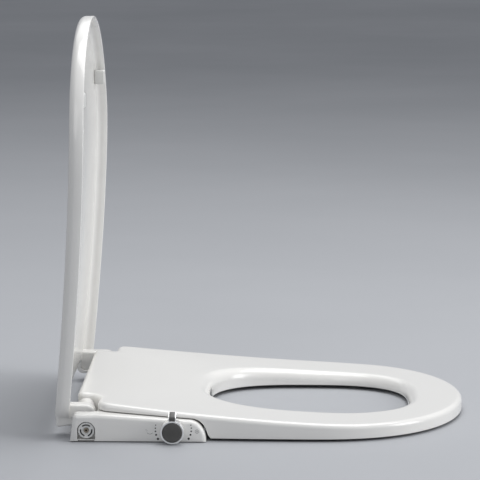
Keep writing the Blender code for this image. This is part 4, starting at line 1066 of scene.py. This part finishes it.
# %% Floor
low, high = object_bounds()
bpy.ops.object.select_all(action="DESELECT")
bpy.ops.mesh.primitive_plane_add(size=1.0, location=(1.0, 0.0, low.z - 0.0005))
floor = bpy.context.object
floor.name = "studio_floor"
floor.scale = (90.0, 90.0, 1.0)
settle(floor)
paper = finish_of("studio_paper", skin, specular=0.2,
                  Light=(0.42, 0.43, 0.45, 1), Shade=(0.40, 0.41, 0.43, 1),
                  Patches=1.2, Grain=160.0, Gloss_low=0.55, Gloss_high=0.7, Height=0.05)
floor.data.materials.append(paper)
floor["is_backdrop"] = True

# %% Lights
world = bpy.data.worlds.new("studio")
world.use_nodes = True
world.node_tree.nodes["Background"].inputs["Color"].default_value = (0.62, 0.64, 0.68, 1)
world.node_tree.nodes["Background"].inputs["Strength"].default_value = 0.55
bpy.context.scene.world = world


def panel(name, place, target, width, height, power):
    """A soft rectangular light at a place, turned to its target."""
    light = bpy.data.lights.new(name, "AREA")
    light.shape = "RECTANGLE"
    light.size, light.size_y, light.energy = width, height, power
    obj = bpy.data.objects.new(name, light)
    obj.location = place
    obj.rotation_euler = (Vector(target) - Vector(place)).to_track_quat("-Z", "Y").to_euler()
    bpy.context.scene.collection.objects.link(obj)
    return obj


middle = (0.0, -0.18, 0.1)
panel("top_light", (0.5, -0.6, 2.4), middle, 2.0, 1.6, 40.0)
panel("front_light", (-0.6, -2.6, 1.1), (0.0, 0.0, 0.2), 1.2, 1.6, 35.0)
panel("near_light", (-2.4, 0.9, 2.2), middle, 1.8, 1.6, 12.0)
panel("rear_light", (2.6, 0.5, 2.6), middle, 2.4, 1.6, 14.0)

# %% Camera
PITCH, YAW, LENS = -0.15196, 0.02514, 201.7
camera_data = bpy.data.cameras.new("camera")
camera_data.lens = LENS
camera_data.sensor_width = 36.0
camera_data.clip_end = 50.0
camera = bpy.data.objects.new("camera", camera_data)
camera.location = spot(-3201.674, 188.131, 695.515)
ahead = Vector((math.cos(PITCH) * math.cos(YAW), math.cos(PITCH) * math.sin(YAW), math.sin(PITCH)))
camera.rotation_euler = ahead.to_track_quat("-Z", "Y").to_euler()
bpy.context.scene.collection.objects.link(camera)
bpy.context.scene.camera = camera
bpy.context.scene.view_settings.view_transform = "Standard"
print("camera at", [round(v, 3) for v in camera.location])

# %% Sizes and finish
finished_box = [list(corner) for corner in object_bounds()]
for label, box in (("cad", cad_box), ("finished", finished_box)):
    print(label, [round((b - a) / MM, 1) for a, b in zip(*box)])
